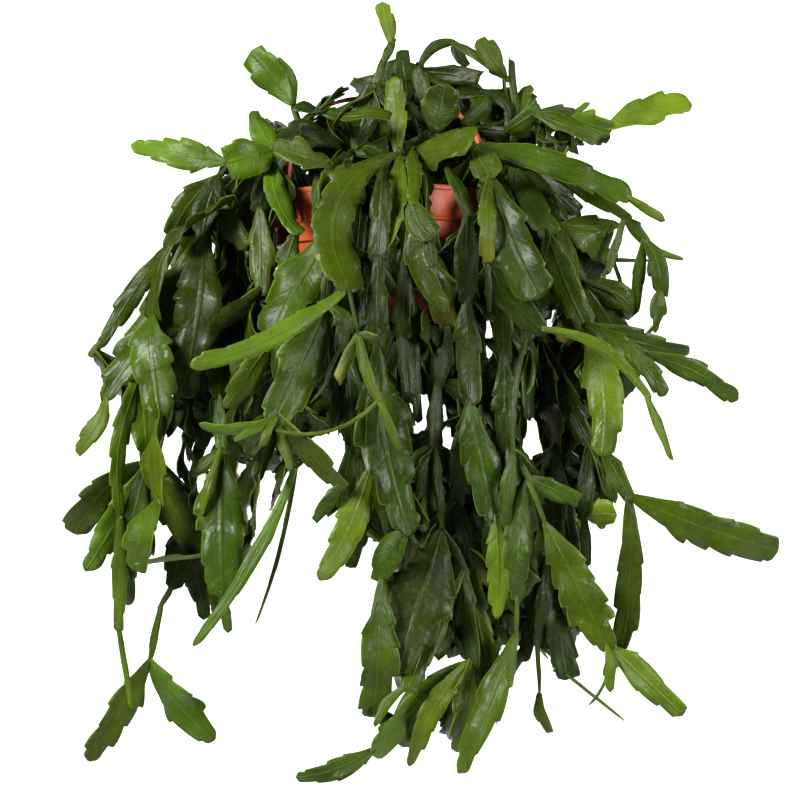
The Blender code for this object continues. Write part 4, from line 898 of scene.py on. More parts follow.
# %% [markdown]
# ### One segment
#
# A segment is a bowed centre line and a blade across it. The line is a curve with three points, its
# base, its tip and one to the side that bows it. The blade turns and twists about the line, and its
# two halves lift into a shallow channel. The plain form below, with only a few rings, serves to test
# what is in the way of what.

# %% The centre line and the plain form of a segment
LEAF_THICKNESS = 2.0 * MM
LEAF_BASE_HALF_WIDTH = 1.5 * MM
LEAF_LEAST_HALF_WIDTH = 1.1 * MM
LEAF_SINK = 4 * MM
LEAF_SINK_STEP = 0.6 * MM
LEAF_RINGS = ((24 * MM, 5), (16 * MM, 4), (4.5 * MM, 3), (0, 2))
FIRST_RING, LAST_RING = 0.16, 0.92
TOOTH_DEPTH = 0.1
FULL_FROM = 0.42
TAPER_FROM, TAPER_SPAN, TAPER_POWER = 0.62, 0.4, 2.2
RIB_AT_BASE, RIB_FALL = 1.15, 0.45
CLEARANCE = 0.5 * MM


class Leaf:
    """One flat stem segment: a bowed centre line with a scalloped blade along it."""

    def __init__(self, base, tip, width, facing, bend, curl, turn, twist, cup):
        self.base, self.tip, self.width = base, tip, width
        chord = tip - base
        self.side = chord.cross(facing).normalized()
        self.face = self.side.cross(chord).normalized()
        offset = self.side * bend + self.face * curl
        self.middle = (base + tip) / 2 + 2 * chord.length * offset
        self.turn, self.twist, self.cup = turn, twist, cup

    def point(self, u):
        return (1 - u) ** 2 * self.base + 2 * u * (1 - u) * self.middle + u * u * self.tip

    def frame(self, u):
        """The direction along, the direction across and the face's direction at u."""
        along = ((1 - u) * (self.middle - self.base) + u * (self.tip - self.middle)).normalized()
        angle = self.turn + self.twist * (u - 0.5)
        face = self.face * math.cos(angle) + self.side * math.sin(angle)
        across = along.cross(face).normalized()
        return along, across, across.cross(along)

    def stations(self):
        """How far along the leaf its rings are, from 0 at its base to 1 at its tip."""
        rings = next(count for least, count in LEAF_RINGS if self.width >= least)
        return [FIRST_RING + (LAST_RING - FIRST_RING) * i / (rings - 1) for i in range(rings)]

    def child_base(self, rank):
        """Where the rank-th of the leaves that grow from this one starts, back from its tip."""
        left = LEAF_SINK + LEAF_SINK_STEP * rank
        here = self.tip
        for u in reversed(self.stations()):
            there = self.point(u)
            step = (there - here).length
            if step >= left:
                return here.lerp(there, left / step)
            left -= step
            here = there
        return here

    def half_width(self, u):
        """Narrow at the base, full from two fifths of the way, blunt at the tip."""
        grown = min(1, u / FULL_FROM)
        rise = grown * grown * (3 - 2 * grown)
        fall = math.sqrt(1 - max(0, (u - TAPER_FROM) / TAPER_SPAN) ** TAPER_POWER)
        full = max(self.width / 2, LEAF_LEAST_HALF_WIDTH)
        narrow = min(LEAF_BASE_HALF_WIDTH, full)
        return narrow + (full - narrow) * rise * fall

    def section(self, u, left, right, grow):
        """Left edge, upper midrib, right edge and lower midrib at u."""
        _, across, face = self.frame(u)
        half = self.half_width(u)
        lift = face * self.cup * half
        rib = face * (LEAF_THICKNESS / 2 * (RIB_AT_BASE - RIB_FALL * u) + grow)
        centre = self.point(u)
        return [
            centre - across * (half * left + grow) + lift,
            centre + rib,
            centre + across * (half * right + grow) + lift,
            centre - rib,
        ]

    def shape(self, grow=0.0):
        """Vertices and triangles: a point at each end, and both faces of the blade split alike."""
        points = [self.base]
        for i, u in enumerate(self.stations()):
            notch = TOOTH_DEPTH * (-1) ** i if i else 0
            points += self.section(u, 1 - notch, 1 + notch, grow)
        last = len(points)
        points.append(self.tip + self.frame(1)[0] * grow)
        faces = [(2, 1, 0), (3, 2, 0), (4, 3, 0), (1, 4, 0)]
        for a in range(1, last - 4, 4):
            b, c, d, e, f, g, h = range(a + 1, a + 8)
            faces += [(b, e, a), (f, e, b), (g, f, b), (c, g, b)]
            faces += [(a, e, d), (e, h, d), (h, g, d), (g, c, d)]
        a, b, c, d = range(last - 4, last)
        faces += [(b, last, a), (c, last, b), (d, last, c), (a, last, d)]
        return points, faces


# %% [markdown]
# ### What is in the way
#
# Real stems lean against each other but don't pass through one another. Each new segment is tried in
# its wanted place first, and then a little deeper, nearer, turned or curled, until it is clear of all
# that grew before it, of the pot and of the hanger. Trees of bounding boxes make the test quick.

# %% Test whether a segment is clear
JOINT_CROSSINGS = 14
CLEAR_TRIALS = 40
MOST_SHAPES = 3000


def box_of(points):
    low = [min(point[i] for point in points) for i in range(3)]
    high = [max(point[i] for point in points) for i in range(3)]
    return low, high


class Obstacle:
    """A shape that leaves keep clear of. A leaf's has its stem, its number and its parent's."""

    def __init__(self, points, faces, stem=None, number=None, after=None):
        self.points, self.tree = points, BVHTree.FromPolygons(points, faces)
        self.stem, self.number, self.after = stem, number, after


class Crowd:
    """Obstacles with their boxes in two arrays, so that those near a place are found quickly."""

    def __init__(self):
        self.shapes = []
        self.lows, self.highs = np.zeros((MOST_SHAPES, 3)), np.zeros((MOST_SHAPES, 3))

    def append(self, shape):
        count = len(self.shapes)
        self.lows[count], self.highs[count] = box_of(shape.points)
        self.shapes.append(shape)

    def near(self, points):
        """The obstacles whose boxes touch the box of some points."""
        low, high = box_of(points)
        count = len(self.shapes)
        apart = (self.lows[:count] > high) | (self.highs[:count] < low)
        return [self.shapes[i] for i in np.nonzero(~apart.any(axis=1))[0]]


def in_pot(points):
    """Whether any point is in the space that the pot and the soil take."""
    reach = RIM_RADIUS + 2 * CLEARANCE
    return any(
        -CLEARANCE < point.z < RIM_HEIGHT + CLEARANCE and math.hypot(point.x, point.y) < reach
        for point in points
    )


def crossings(leaf, stem, after, obstacles, own):
    """How many faces of its own stem a leaf crosses at its joint, or None if it isn't clear.

    It may cross its parent and its siblings, or with own any leaf of its own stem.
    """
    points, faces = leaf.shape(CLEARANCE)
    if after == SOIL:
        if any(point.z < SOIL_TOP + CLEARANCE for point in points):
            return None
    elif in_pot(points):
        return None
    tree = BVHTree.FromPolygons(points, faces)
    count = 0
    for obstacle in obstacles.near(points):
        crossed = len(tree.overlap(obstacle.tree))
        allowed = own or after in (obstacle.number, obstacle.after)
        if crossed and not (obstacle.stem == stem and allowed):
            return None
        count += crossed
    return count


def choose(trials, stem, after, obstacles, own=False):
    """The first trial that is clear with a simple joint, or else the simplest of the clear ones."""
    chosen, fewest, clear = None, math.inf, 0
    for leaf in trials:
        count = crossings(leaf, stem, after, obstacles, own)
        if count is None:
            continue
        clear += 1
        if count < fewest:
            chosen, fewest = leaf, count
        if count <= JOINT_CROSSINGS or clear == CLEAR_TRIALS:
            break
    return chosen


def obstacle_of(made):
    points = [vertex.co.copy() for vertex in made.data.vertices]
    return Obstacle(points, [tuple(face.vertices) for face in made.data.polygons])


# %% [markdown]
# ### Growing the stems
#
# The shown stems follow their rows. To be clear, a shown leaf may move: its tip's depth in
# millimetres, its turn in degrees, its curl and its tip's place in the view each have a list of shifts
# to try. Chance gives it a lean in degrees, a curl, a twist and a cup. The other stems follow a habit:
# a list of climbing angles, joint by joint from the soil outwards, with ranges for lengths and widths.
# The draws are seeded, so the plant is the same each time.

# %% Grow a stem by its rows
DEPTH_SHIFTS = (0, -4, 4, -8, 8, -12, 12, -16, 16, -22, 22, -28, 28, -36, 36)
TURN_SHIFTS = (0, 20, -20, 42, -42, 64, -64)
CURL_SHIFTS = (0, 0.12)
VIEW_SHIFTS = ((0, 0), (0, -8), (8, 0), (-8, 0), (0, 8), (9, -9), (-9, -9), (14, 6), (-14, 6))
SHOWN_LEAN = 28
LEAST_COSINE = 0.75
SHOWN_CURL = 0.07
SHOWN_TWIST = 0.7
SHOWN_CUP, CUP_SPREAD = 0.12, 0.16


def shown_trials(row, base, shift, draws):
    """Leaves from a base to a tip in the front view, the wanted one first."""
    for aside, lower in VIEW_SHIFTS:
        for step in DEPTH_SHIFTS:
            away = shift + step * MM
            tip = seen_at(row.across + aside, row.down + lower, row.depth * MM + away)
            for turn in TURN_SHIFTS:
                angle = math.radians(SHOWN_LEAN * draws[0] + turn)
                width = row.width * view_scale(tip.y) / max(LEAST_COSINE, math.cos(angle))
                for curl in CURL_SHIFTS:
                    leaf = Leaf(base, tip, width, Vector((0, -1, 0)), row.bend,
                                SHOWN_CURL * draws[1] + curl, angle, SHOWN_TWIST * draws[2],
                                SHOWN_CUP + CUP_SPREAD * draws[3])
                    leaf.shift = away
                    yield leaf


def grow_shown(name, rows, start, rng, obstacles):
    """Grows one shown stem. A tip keeps its place in the view, and what is in its way moves it."""
    grown = {}
    ranks = [0] * len(rows)
    for number, row in enumerate(rows):
        draws = [rng.uniform(-1, 1) for _ in range(4)]
        if row.after == SOIL:
            base, shift = start, 0.0
        elif row.after in grown:
            base = grown[row.after].child_base(ranks[row.after])
            shift = grown[row.after].shift
            ranks[row.after] += 1
        else:
            print("without its parent:", name, number)
            continue
        for own in (False, True):
            trials = shown_trials(row, base, shift, draws)
            leaf = choose(trials, name, row.after, obstacles, own)
            if leaf:
                break
        else:
            print("left out:", name, number)
            continue
        leaf.age, leaf.number = row.age, number
        obstacles.append(Obstacle(*leaf.shape(), name, number, row.after))
        grown[number] = leaf
    return list(grown.values())


# %% Habits for the stems that the front doesn't show
Habit = namedtuple("Habit", "climbs lengths widths bottoms reach forks_from fork_step")
BACK_HABIT = Habit(
    climbs=(60, 12, -45, -74, -85, -87, -87, -87),
    lengths=(38 * MM, 82 * MM),
    widths=(15 * MM, 29 * MM),
    bottoms=(-215 * MM, -80 * MM),
    reach=165 * MM,
    forks_from=1,
    fork_step=6,
)
CROWN_HABIT = Habit(
    climbs=(72, 40, 0, -50),
    lengths=(26 * MM, 42 * MM),
    widths=(9 * MM, 16 * MM),
    bottoms=(118 * MM, 124 * MM),
    reach=74 * MM,
    forks_from=0,
    fork_step=2,
)
BACK_STEMS = 10
BACK_FROM, BACK_TO = -12, 184
CROWN_DIRECTIONS = (250, 60, 150, 335)
CROWN_RADIUS = 26 * MM
ROOT_SHARE = 0.8
STALK_SHARE = 0.4
FORK_CHANCE = 0.1
FORK_SPREAD = 55
TRIES = 200
LEAST_SPREAD = 12
CLIMB_SPREAD = 0.6
SIDE_FACING = 0.2
RULE_BEND, RULE_CURL, RULE_LEAN, RULE_TWIST = 0.06, 0.1, 50, 0.8
RULE_CUPS = (-0.05, 0.3)
RULE_AGE, RULE_AGEING, RULE_YOUNGEST = 0.2, 0.25, 1.8
EDGE_FROM = 5


# %% [markdown]
# The stems behind the shown ones may not stick out past the outline that the front view has, and the
# larger gaps in the plant stay open. So the outline is noted as a ring of places in the view, with a
# smaller ring for each gap, and each row of the view is cut into the stretches that lie inside.

# %% Note the outline that the front shows
OUTLINES = (
    ((222, 166), (234, 148), (252, 134), (254, 124), (264, 114), (270, 121), (302, 121), (314, 114),
     (342, 104), (358, 98), (356, 84), (368, 80), (380, 66), (390, 56), (412, 53), (422, 67),
     (452, 65), (468, 74), (484, 86), (500, 89), (530, 86), (538, 98), (544, 110), (574, 115),
     (602, 120), (613, 133), (610, 145), (590, 143), (574, 152), (560, 164), (572, 200), (584, 217),
     (606, 217), (619, 224), (604, 233), (604, 250), (614, 256), (610, 268), (614, 284), (632, 303),
     (640, 312), (642, 335), (668, 336), (684, 344), (688, 357), (646, 358), (657, 380), (648, 384),
     (650, 396), (632, 394), (620, 408), (608, 438), (614, 457), (634, 486), (634, 498), (616, 500),
     (616, 526), (592, 519), (584, 524), (586, 545), (592, 574), (604, 590), (608, 624), (612, 642),
     (600, 654), (584, 634), (576, 646), (572, 662), (574, 676), (556, 677), (547, 664), (543, 650),
     (530, 652), (517, 662), (512, 680), (505, 708), (492, 743), (474, 756), (468, 766), (461, 754),
     (442, 738), (440, 727), (428, 734), (422, 752), (412, 764), (406, 754), (400, 743), (388, 737),
     (390, 716), (378, 716), (364, 702), (358, 676), (362, 646), (372, 616), (380, 590), (375, 572),
     (389, 547), (381, 518), (372, 533), (370, 548), (348, 567), (330, 571), (320, 578), (326, 552),
     (337, 514), (318, 520), (316, 504), (330, 488), (336, 477), (346, 458), (342, 440), (334, 434),
     (310, 438), (302, 452), (296, 468), (288, 474), (281, 500), (267, 532), (250, 562), (248, 580),
     (240, 596), (236, 610), (232, 628), (202, 618), (200, 592), (188, 577), (170, 588), (168, 560),
     (172, 537), (165, 514), (160, 528), (158, 562), (151, 562), (135, 600), (124, 604), (115, 600),
     (118, 574), (118, 549), (102, 556), (88, 566), (92, 545), (101, 513), (90, 511), (80, 532),
     (74, 530), (75, 503), (84, 486), (100, 472), (113, 459), (117, 428), (122, 408), (122, 390),
     (102, 398), (102, 362), (112, 346), (94, 342), (96, 330), (104, 314), (128, 286), (158, 256),
     (160, 242), (172, 230), (174, 214), (180, 200), (190, 188), (208, 180)),
    ((168, 262), (190, 232), (196, 242), (170, 276)),
    ((158, 374), (160, 358), (166, 346), (172, 362), (170, 370)),
    ((163, 450), (181, 428), (184, 456), (190, 480), (172, 478)),
    ((194, 448), (200, 436), (206, 452), (218, 458), (195, 469)),
    ((235, 466), (244, 452), (249, 472), (257, 482), (251, 492)),
    ((256, 541), (258, 490), (266, 466), (273, 476), (266, 530)),
    ((232, 291), (240, 291), (251, 304), (246, 307), (234, 299)),
    ((523, 421), (528, 421), (543, 458), (538, 456), (524, 438)),
    ((539, 311), (550, 311), (555, 328), (548, 329)),
    ((543, 170), (562, 182), (552, 182)),
    ((428, 684), (438, 672), (448, 656), (465, 661), (452, 674)),
    ((382, 711), (393, 674), (408, 674), (396, 698)),
)


def stretches():
    """For each row of the front view, the stretches of it that are inside the outlines."""
    rows = []
    for row in range(VIEW_SHAPE[0]):
        crossed = []
        for outline in OUTLINES:
            for (x1, y1), (x2, y2) in zip(outline, outline[1:] + outline[:1]):
                if (y1 > row) != (y2 > row):
                    crossed.append(x1 + (row - y1) * (x2 - x1) / (y2 - y1))
        crossed.sort()
        rows.append(list(zip(crossed[::2], crossed[1::2])))
    return rows


INSIDE = stretches()
print("The plant's outline has", len(OUTLINES[0]), "corners and", len(OUTLINES) - 1, "gaps")


# %% Grow a stem by its habit
def is_bare(point):
    """Whether a point is where the front view shows the background."""
    across, down = seen_place(point)
    row = int(down)
    if not 0 <= row < VIEW_SHAPE[0]:
        return True
    return not any(left < across < right for left, right in INSIDE[row])


def outwards(tip):
    """The way that a leaf that no row describes faces: away from the plant, and a little up."""
    return Vector((tip.x, tip.y, SIDE_FACING * abs(tip.x))).normalized()


def rule_trials(habit, base, step, heading, rng):
    """Leaves that lean ever further from where the stem is heading."""
    for attempt in range(TRIES):
        spread = LEAST_SPREAD + attempt
        azimuth = math.radians(heading + rng.uniform(-spread, spread))
        climb = math.radians(habit.climbs[step] + CLIMB_SPREAD * rng.uniform(-spread, spread))
        out = Vector((math.cos(azimuth), math.sin(azimuth), 0))
        length = rng.uniform(*habit.lengths)
        tip = base + length * (out * math.cos(climb) + Vector((0, 0, math.sin(climb))))
        width = rng.uniform(*habit.widths) * (STALK_SHARE if step == 0 else 1)
        bend, curl = rng.uniform(-RULE_BEND, RULE_BEND), rng.uniform(0, RULE_CURL)
        lean = math.radians(rng.uniform(-RULE_LEAN, RULE_LEAN))
        twist, cup = rng.uniform(-RULE_TWIST, RULE_TWIST), rng.uniform(*RULE_CUPS)
        leaf = Leaf(base, tip, width, outwards(tip), bend, curl, lean, twist, cup)
        leaf.age = min(RULE_YOUNGEST, RULE_AGE + RULE_AGEING * step)
        if is_bare(tip) or tip.xy.length > habit.reach:
            continue
        if not any(is_bare(point) for point in leaf.shape()[0][EDGE_FROM:]):
            yield leaf


def grow_by_rule(name, habit, degrees, start, rng, obstacles):
    """Grows one stem by its habit, with a fork at some of its joints."""
    bottom = rng.uniform(*habit.bottoms)
    heads = [(start, 0, degrees, SOIL)]
    grown = []
    while heads:
        base, step, heading, after = heads.pop(0)
        if step >= len(habit.climbs) or (step > 1 and base.z < bottom):
            continue
        leaf = choose(rule_trials(habit, base, step, heading, rng), name, after, obstacles)
        if not leaf:
            continue
        number = leaf.number = len(grown)
        obstacles.append(Obstacle(*leaf.shape(), name, number, after))
        grown.append(leaf)
        heads.append((leaf.child_base(0), step + 1, heading, number))
        if step >= habit.forks_from and rng.random() < FORK_CHANCE:
            side = heading + rng.choice((-1, 1)) * FORK_SPREAD
            heads.append((leaf.child_base(1), max(step + 1, habit.fork_step), side, number))
    return grown


# %% Plan where each stem stands
PEG_RADIUS = 1.8 * MM
PEG_DEPTH = 16 * MM
PEG_ABOVE = 8 * MM
PEG_SIDES = 4
HOLE_RING_RADIUS = 54 * MM


def hole_places(count):
    """Places for the stems in the soil, spread evenly by a sunflower spiral."""
    turn = math.pi * (3 - math.sqrt(5))
    places = []
    for i in range(count):
        out = HOLE_RING_RADIUS * math.sqrt((i + 0.5) / count)
        places.append(Vector((math.cos(turn * i), math.sin(turn * i))) * out)
    return places


def peg_shape(place):
    """Points and faces of the plain peg that a packed stem stands on."""
    mesh = bmesh.new()
    bottom, top = SOIL_TOP - PEG_DEPTH, SOIL_TOP + PEG_ABOVE
    middle = Matrix.Translation((place.x, place.y, (bottom + top) / 2))
    bmesh.ops.create_cone(mesh, cap_ends=True, segments=PEG_SIDES, radius1=PEG_RADIUS,
                          radius2=PEG_RADIUS, depth=top - bottom, matrix=middle)
    points = [vertex.co.copy() for vertex in mesh.verts]
    faces = [[vertex.index for vertex in face.verts] for face in mesh.faces]
    mesh.free()
    return points, faces


def take_nearest(places, wanted):
    """Takes the free place nearest to where a stem wants to stand."""
    best = min(places, key=lambda place: (place - wanted).length)
    places.remove(best)
    return best


def mean_depth(name):
    rows = SHOWN_STEMS[name]
    return sum(row.depth for row in rows) / len(rows)


def direction(degrees):
    angle = math.radians(degrees)
    return Vector((math.cos(angle), math.sin(angle)))


def plan_stems():
    """Each stem's place in the soil, with its rows or its habit, and the way that it heads.

    The outermost shown stem comes first, because those behind it have more room to move.
    """
    free = hole_places(len(SHOWN_STEMS) + len(CROWN_DIRECTIONS) + BACK_STEMS)
    plans = {}
    for name in sorted(SHOWN_STEMS, key=mean_depth):
        rows = SHOWN_STEMS[name]
        joint = seen_at(rows[0].across, rows[0].down, rows[0].depth * MM)
        plans[name] = take_nearest(free, ROOT_SHARE * joint.xy), rows, None
    for number, degrees in enumerate(CROWN_DIRECTIONS, 1):
        place = take_nearest(free, CROWN_RADIUS * direction(degrees))
        plans[f"stem_crown_{number}"] = place, CROWN_HABIT, degrees
    for i in range(BACK_STEMS):
        degrees = BACK_FROM + (BACK_TO - BACK_FROM) * i / (BACK_STEMS - 1)
        place = take_nearest(free, HOLE_RING_RADIUS * direction(degrees))
        plans[f"stem_back_{i + 1}"] = place, BACK_HABIT, degrees
    return plans


# %% Grow all the stems
SEED = 11

plans = plan_stems()
obstacles = Crowd()
for name in ("pot", "hanger_arm_1", "hanger_arm_2", "hanger_arm_3", "hanger_hook"):
    obstacles.append(obstacle_of(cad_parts[name]))
for name, (place, _, _) in plans.items():
    obstacles.append(Obstacle(*peg_shape(place), name, SOIL))
rng = random.Random(SEED)
stems = {}
for name, (place, plan, degrees) in plans.items():
    start = Vector((*place, SOIL_TOP + PEG_ABOVE - LEAF_SINK))
    if name in SHOWN_STEMS:
        stems[name] = grow_shown(name, plan, start, rng, obstacles)
    else:
        stems[name] = grow_by_rule(name, plan, degrees, start, rng, obstacles)
print("Grew", sum(len(leaves) for leaves in stems.values()), "segments on", len(stems), "stems")


# %% Compare the stems with the packed ones
worst = 0.0
for name, leaves in stems.items():
    points = [point for leaf in leaves for point in leaf.shape()[0]]
    for corner, packed in zip(box_of(points + peg_shape(plans[name][0])[0]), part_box(name)):
        worst = max(worst, *(abs(corner[i] - packed[i]) for i in range(3)))
print("The stems match their nodes to", round(worst / MM, 3), "mm")


# %% [markdown]
# ### Thickening the plant
#
# The packed stems carry the plant's outline and all its large segments. Between and behind them a
# real plant is much denser: dark older shoots fill the crown, hang close in front of the pot, and
# crowd the sides and the back. Their dark green is partly their age and partly painted shade deep
# inside the plant. From in front they may neither stick out past the outline nor stand before a
# segment that the front shows. To test that, the front view is kept as a grid of depths.
# Each segment's triangles are laid into it, and each cell keeps the depth of what is nearest.

# %% Keep the front view as a grid of depths
NOTHING = 9.0
LEAST_AREA = 0.01


def view_cells(leaf):
    """The cells of the front view that a segment covers, as rows, columns and depths."""
    points, faces = leaf.shape()
    places = np.array([seen_place(point) for point in points])
    depths = np.array([point.y for point in points])
    found = []
    for face in faces:
        (x1, y1), (x2, y2), (x3, y3) = places[list(face)].tolist()
        area = (x2 - x1) * (y3 - y1) - (x3 - x1) * (y2 - y1)
        if area < LEAST_AREA:
            continue
        x, y = np.meshgrid(np.arange(int(min(x1, x2, x3)), int(max(x1, x2, x3)) + 2),
                           np.arange(int(min(y1, y2, y3)), int(max(y1, y2, y3)) + 2))
        s = ((x - x1) * (y3 - y1) - (x3 - x1) * (y - y1)) / area
        t = ((x2 - x1) * (y - y1) - (x - x1) * (y2 - y1)) / area
        inside = (s >= 0) & (t >= 0) & (s + t <= 1)
        one, two, three = depths[list(face)]
        found.append((y[inside], x[inside], (one + s * (two - one) + t * (three - one))[inside]))
    if not found:
        return np.zeros(0, int), np.zeros(0, int), np.zeros(0)
    rows, columns, nearness = (np.concatenate([part[i] for part in found]) for i in range(3))
    return np.clip(rows, 0, VIEW_SHAPE[0] - 1), np.clip(columns, 0, VIEW_SHAPE[1] - 1), nearness


def lay(grid, leaf):
    """Lays a segment into a grid of depths."""
    rows, columns, depths = view_cells(leaf)
    np.minimum.at(grid, (rows, columns), depths)


front = np.full(VIEW_SHAPE, NOTHING)
for name in SHOWN_STEMS:
    for leaf in stems[name]:
        lay(front, leaf)
nearest = front.copy()
for name in stems:
    for leaf in stems[name]:
        lay(nearest, leaf)
print("The shown segments cover", int((front < NOTHING).sum()), "cells of the front view")


# %% [markdown]
# Most of the pot is hidden too, but it shows in a few places, which stay open. Everything else inside
# the outline that no segment covers is a gap to fill. A shoot that fills a gap grows from a joint
# near it, out across the gap. Over the pot, it hugs the pot's side.

# %% Find the gaps to fill
POT_WINDOWS = ((276, 196, 312, 280), (435, 190, 470, 236), (386, 300, 393, 322), (412, 292, 436, 308))
POT_SIDE = -30 * MM
SLITS = (
    (205, 242, 214, 258), (233, 250, 240, 284), (277, 270, 283, 286), (123, 436, 134, 458),
    (194, 438, 214, 462), (196, 480, 208, 492), (236, 460, 256, 490), (487, 316, 490, 336),
    (484, 346, 490, 362), (540, 310, 556, 328), (410, 396, 428, 430), (441, 406, 448, 418),
    (445, 430, 452, 450), (524, 422, 538, 456), (430, 658, 464, 682), (472, 704, 480, 724),
    (503, 644, 508, 656),
)
SLIT_CELLS = 6
EDGE_CELLS = 3
AROUND = 16
BELT_BELOW, BELT_ABOVE = 14 * MM, 10 * MM
OFF_POT = (2.5, 12)
BEHIND_NEARBY = (-2, 45)

gaps = np.zeros(VIEW_SHAPE, bool)
for row, parts in enumerate(INSIDE):
    for left, right in parts:
        gaps[row, int(left) + 1 + EDGE_CELLS:int(right) - EDGE_CELLS] = True
gaps &= np.roll(gaps, EDGE_CELLS, 0) & np.roll(gaps, -EDGE_CELLS, 0)
slits = np.zeros(VIEW_SHAPE, bool)
for left, top, right, bottom in SLITS:
    slits[top:bottom, left:right] = True
gaps &= ~slits
for left, top, right, bottom in POT_WINDOWS:
    gaps[top:bottom, left:right] = False
    front[top:bottom, left:right] = np.minimum(front[top:bottom, left:right], POT_SIDE)

# The depth of what a gap's segments must be in front of: the pot's side, or nothing
behind = np.full(VIEW_SHAPE, NOTHING)
for row in range(VIEW_SHAPE[0]):
    height = seen_at(0, row, -RIM_RADIUS).z
    if 0 < height < RIM_HEIGHT:
        side = RIM_RADIUS if height > RIM_BOTTOM_HEIGHT else body_radius(height)
        places = np.array([seen_at(column, row, -RIM_RADIUS).x for column in range(VIEW_SHAPE[1])])
        over = np.abs(places) < side
        behind[row, over] = -np.sqrt(side ** 2 - places[over] ** 2)


def open_gaps():
    return gaps & (nearest >= behind)


def gap_target(across, down, rng):
    """A point in a gap: behind the segments around it, or just in front of the pot."""
    point = seen_at(across, down, -RIM_RADIUS)
    if -BELT_BELOW < point.z < RIM_HEIGHT + BELT_ABOVE and abs(point.x) < RIM_RADIUS:
        out = RIM_RADIUS + rng.uniform(*OFF_POT) * MM
        return seen_at(across, down, -math.sqrt(out ** 2 - point.x ** 2))
    top, left = max(0, down - AROUND), max(0, across - AROUND)
    window = front[top:down + AROUND, left:across + AROUND]
    around = window[window < NOTHING]
    nearby = float(np.median(around)) if len(around) else 0.0
    return seen_at(across, down, nearby + rng.uniform(*BEHIND_NEARBY) * MM)


def round_target(rng):
    """A point in the crown, or in the curtain of stems that hangs all around the pot."""
    azimuth = rng.uniform(0, math.tau)
    height = rng.uniform(*ROUND_HEIGHTS) * MM
    out = rng.uniform(*(CROWN_REACH if height > CROWN_FROM else CURTAIN_REACH)) * MM
    return Vector((out * math.cos(azimuth), out * math.sin(azimuth), height))


print("Gaps to fill:", int(open_gaps().sum()), "cells")


# %% [markdown]
# Each shoot grows from a joint near its target, through it and a little past it. It is tried broad
# first and then narrower, and the nearest joints come first. It has to be clear of all that grew
# before it, and it may hide next to nothing that the front shows. First shoots hide the straps, then
# three rounds fill the gaps, then targets all around the plant thicken its crown and its curtain, and
# a last round fills what gaps it still can.

# %% Grow the inner shoots
THICKEN_SEED = 5
FIRST_SHOOT = 1000
GAP_ROUNDS = 3
GAP_STEP = 3
ROUND_TARGETS = 1900
ROUND_HEIGHTS = (-215, 185)
CROWN_REACH, CURTAIN_REACH = (0, 105), (74, 140)
BASES = 7
NEAREST_BASE = 0.3
PAST_TARGET = (1.05, 1.9)
PICK_JITTER = 5
BREADTHS = ((0.44, 0.64), (0.34, 0.46), (0.24, 0.36))
SHOOT_LENGTHS = (22 * MM, 84 * MM)
SHOOT_WIDTHS = (7 * MM, 30 * MM)
SHOOT_BEND, SHOOT_LEAN, SHOOT_TWIST = 0.08, 30, 0.9
# The inner shoots' low age gives a dark green: partly older growth, partly painted shade deep inside
# the plant.
SHOOT_AGE_AND_PAINTED_SHADE, SHOOT_AGES = (0.15, 0.4), (0.0, 2.0)
SHOOT_RANKS = (2, 3)
MOST_ON_STEM = 90
CROWN_FROM = 112 * MM
HANGING_CLIMB = -28
LOWEST_SHOOT = -235 * MM
SHOOT_REACH = 150 * MM
HIDE_DEPTH = 1.5 * MM
HIDE_LIMIT = 1
HIDDEN_POINTS = 1
HIDDEN_CELLS = 25
ASIDE = 0.12
STRAP_STEPS = 14
STRAP_FROM, STRAP_SPAN = 0.1, 0.75
BEFORE_STRAP = 5 * MM


def new_shoot(base, tip, broad, rng):
    least, most = SHOOT_WIDTHS
    width = min(most, max(least, (tip - base).length * rng.uniform(*broad)))
    bend, curl = rng.uniform(-SHOOT_BEND, SHOOT_BEND), rng.uniform(0, RULE_CURL)
    lean = math.radians(rng.gauss(0, SHOOT_LEAN))
    twist, cup = rng.uniform(-SHOOT_TWIST, SHOOT_TWIST), rng.uniform(*RULE_CUPS)
    leaf = Leaf(base, tip, width, outwards(tip), bend, curl, lean, twist, cup)
    # A low age and so a dark green, for older growth and for painted shade inside the plant.
    leaf.age = min(SHOOT_AGES[1], max(SHOOT_AGES[0], rng.gauss(*SHOOT_AGE_AND_PAINTED_SHADE)))
    return leaf


def depth_before(point):
    """How far a point is in front of what the front view shows there."""
    across, down = seen_place(point)
    row, column = (min(count - 1, max(0, int(place)))
                   for count, place in zip(VIEW_SHAPE, (down, across)))
    return front[row, column] - point.y


def fits(leaf, name, after, covers):
    """Whether a shoot is clear, stays inside the outline and hides nothing that the front shows.

    One that covers a strap may stand out past the outline. Where the view shows nothing, its depth
    is past HIDE_LIMIT, a metre, and nothing is hidden.
    """
    if leaf.tip.z < LOWEST_SHOOT or leaf.tip.xy.length > SHOOT_REACH:
        return False
    points = leaf.shape()[0][EDGE_FROM:]
    if sum(HIDE_DEPTH < depth_before(point) < HIDE_LIMIT for point in points) > HIDDEN_POINTS:
        return False
    if not covers and any(is_bare(point) for point in points):
        return False
    if crossings(leaf, name, after, obstacles, False) is None:
        return False
    rows, columns, depths = view_cells(leaf)
    if np.count_nonzero(slits[rows, columns]) > SLIT_CELLS:
        return False
    before = front[rows, columns] - depths
    return np.count_nonzero((before > HIDE_DEPTH) & (before < HIDE_LIMIT)) <= HIDDEN_CELLS


def add_shoot(name, parent, leaf):
    leaf.number = FIRST_SHOOT + len(obstacles.shapes)
    obstacles.append(Obstacle(*leaf.shape(), name, leaf.number, parent.number))
    stems[name].append(leaf)
    lay(nearest, leaf)
    heads.append((leaf.child_base(SHOOT_RANKS[0]), name, leaf))


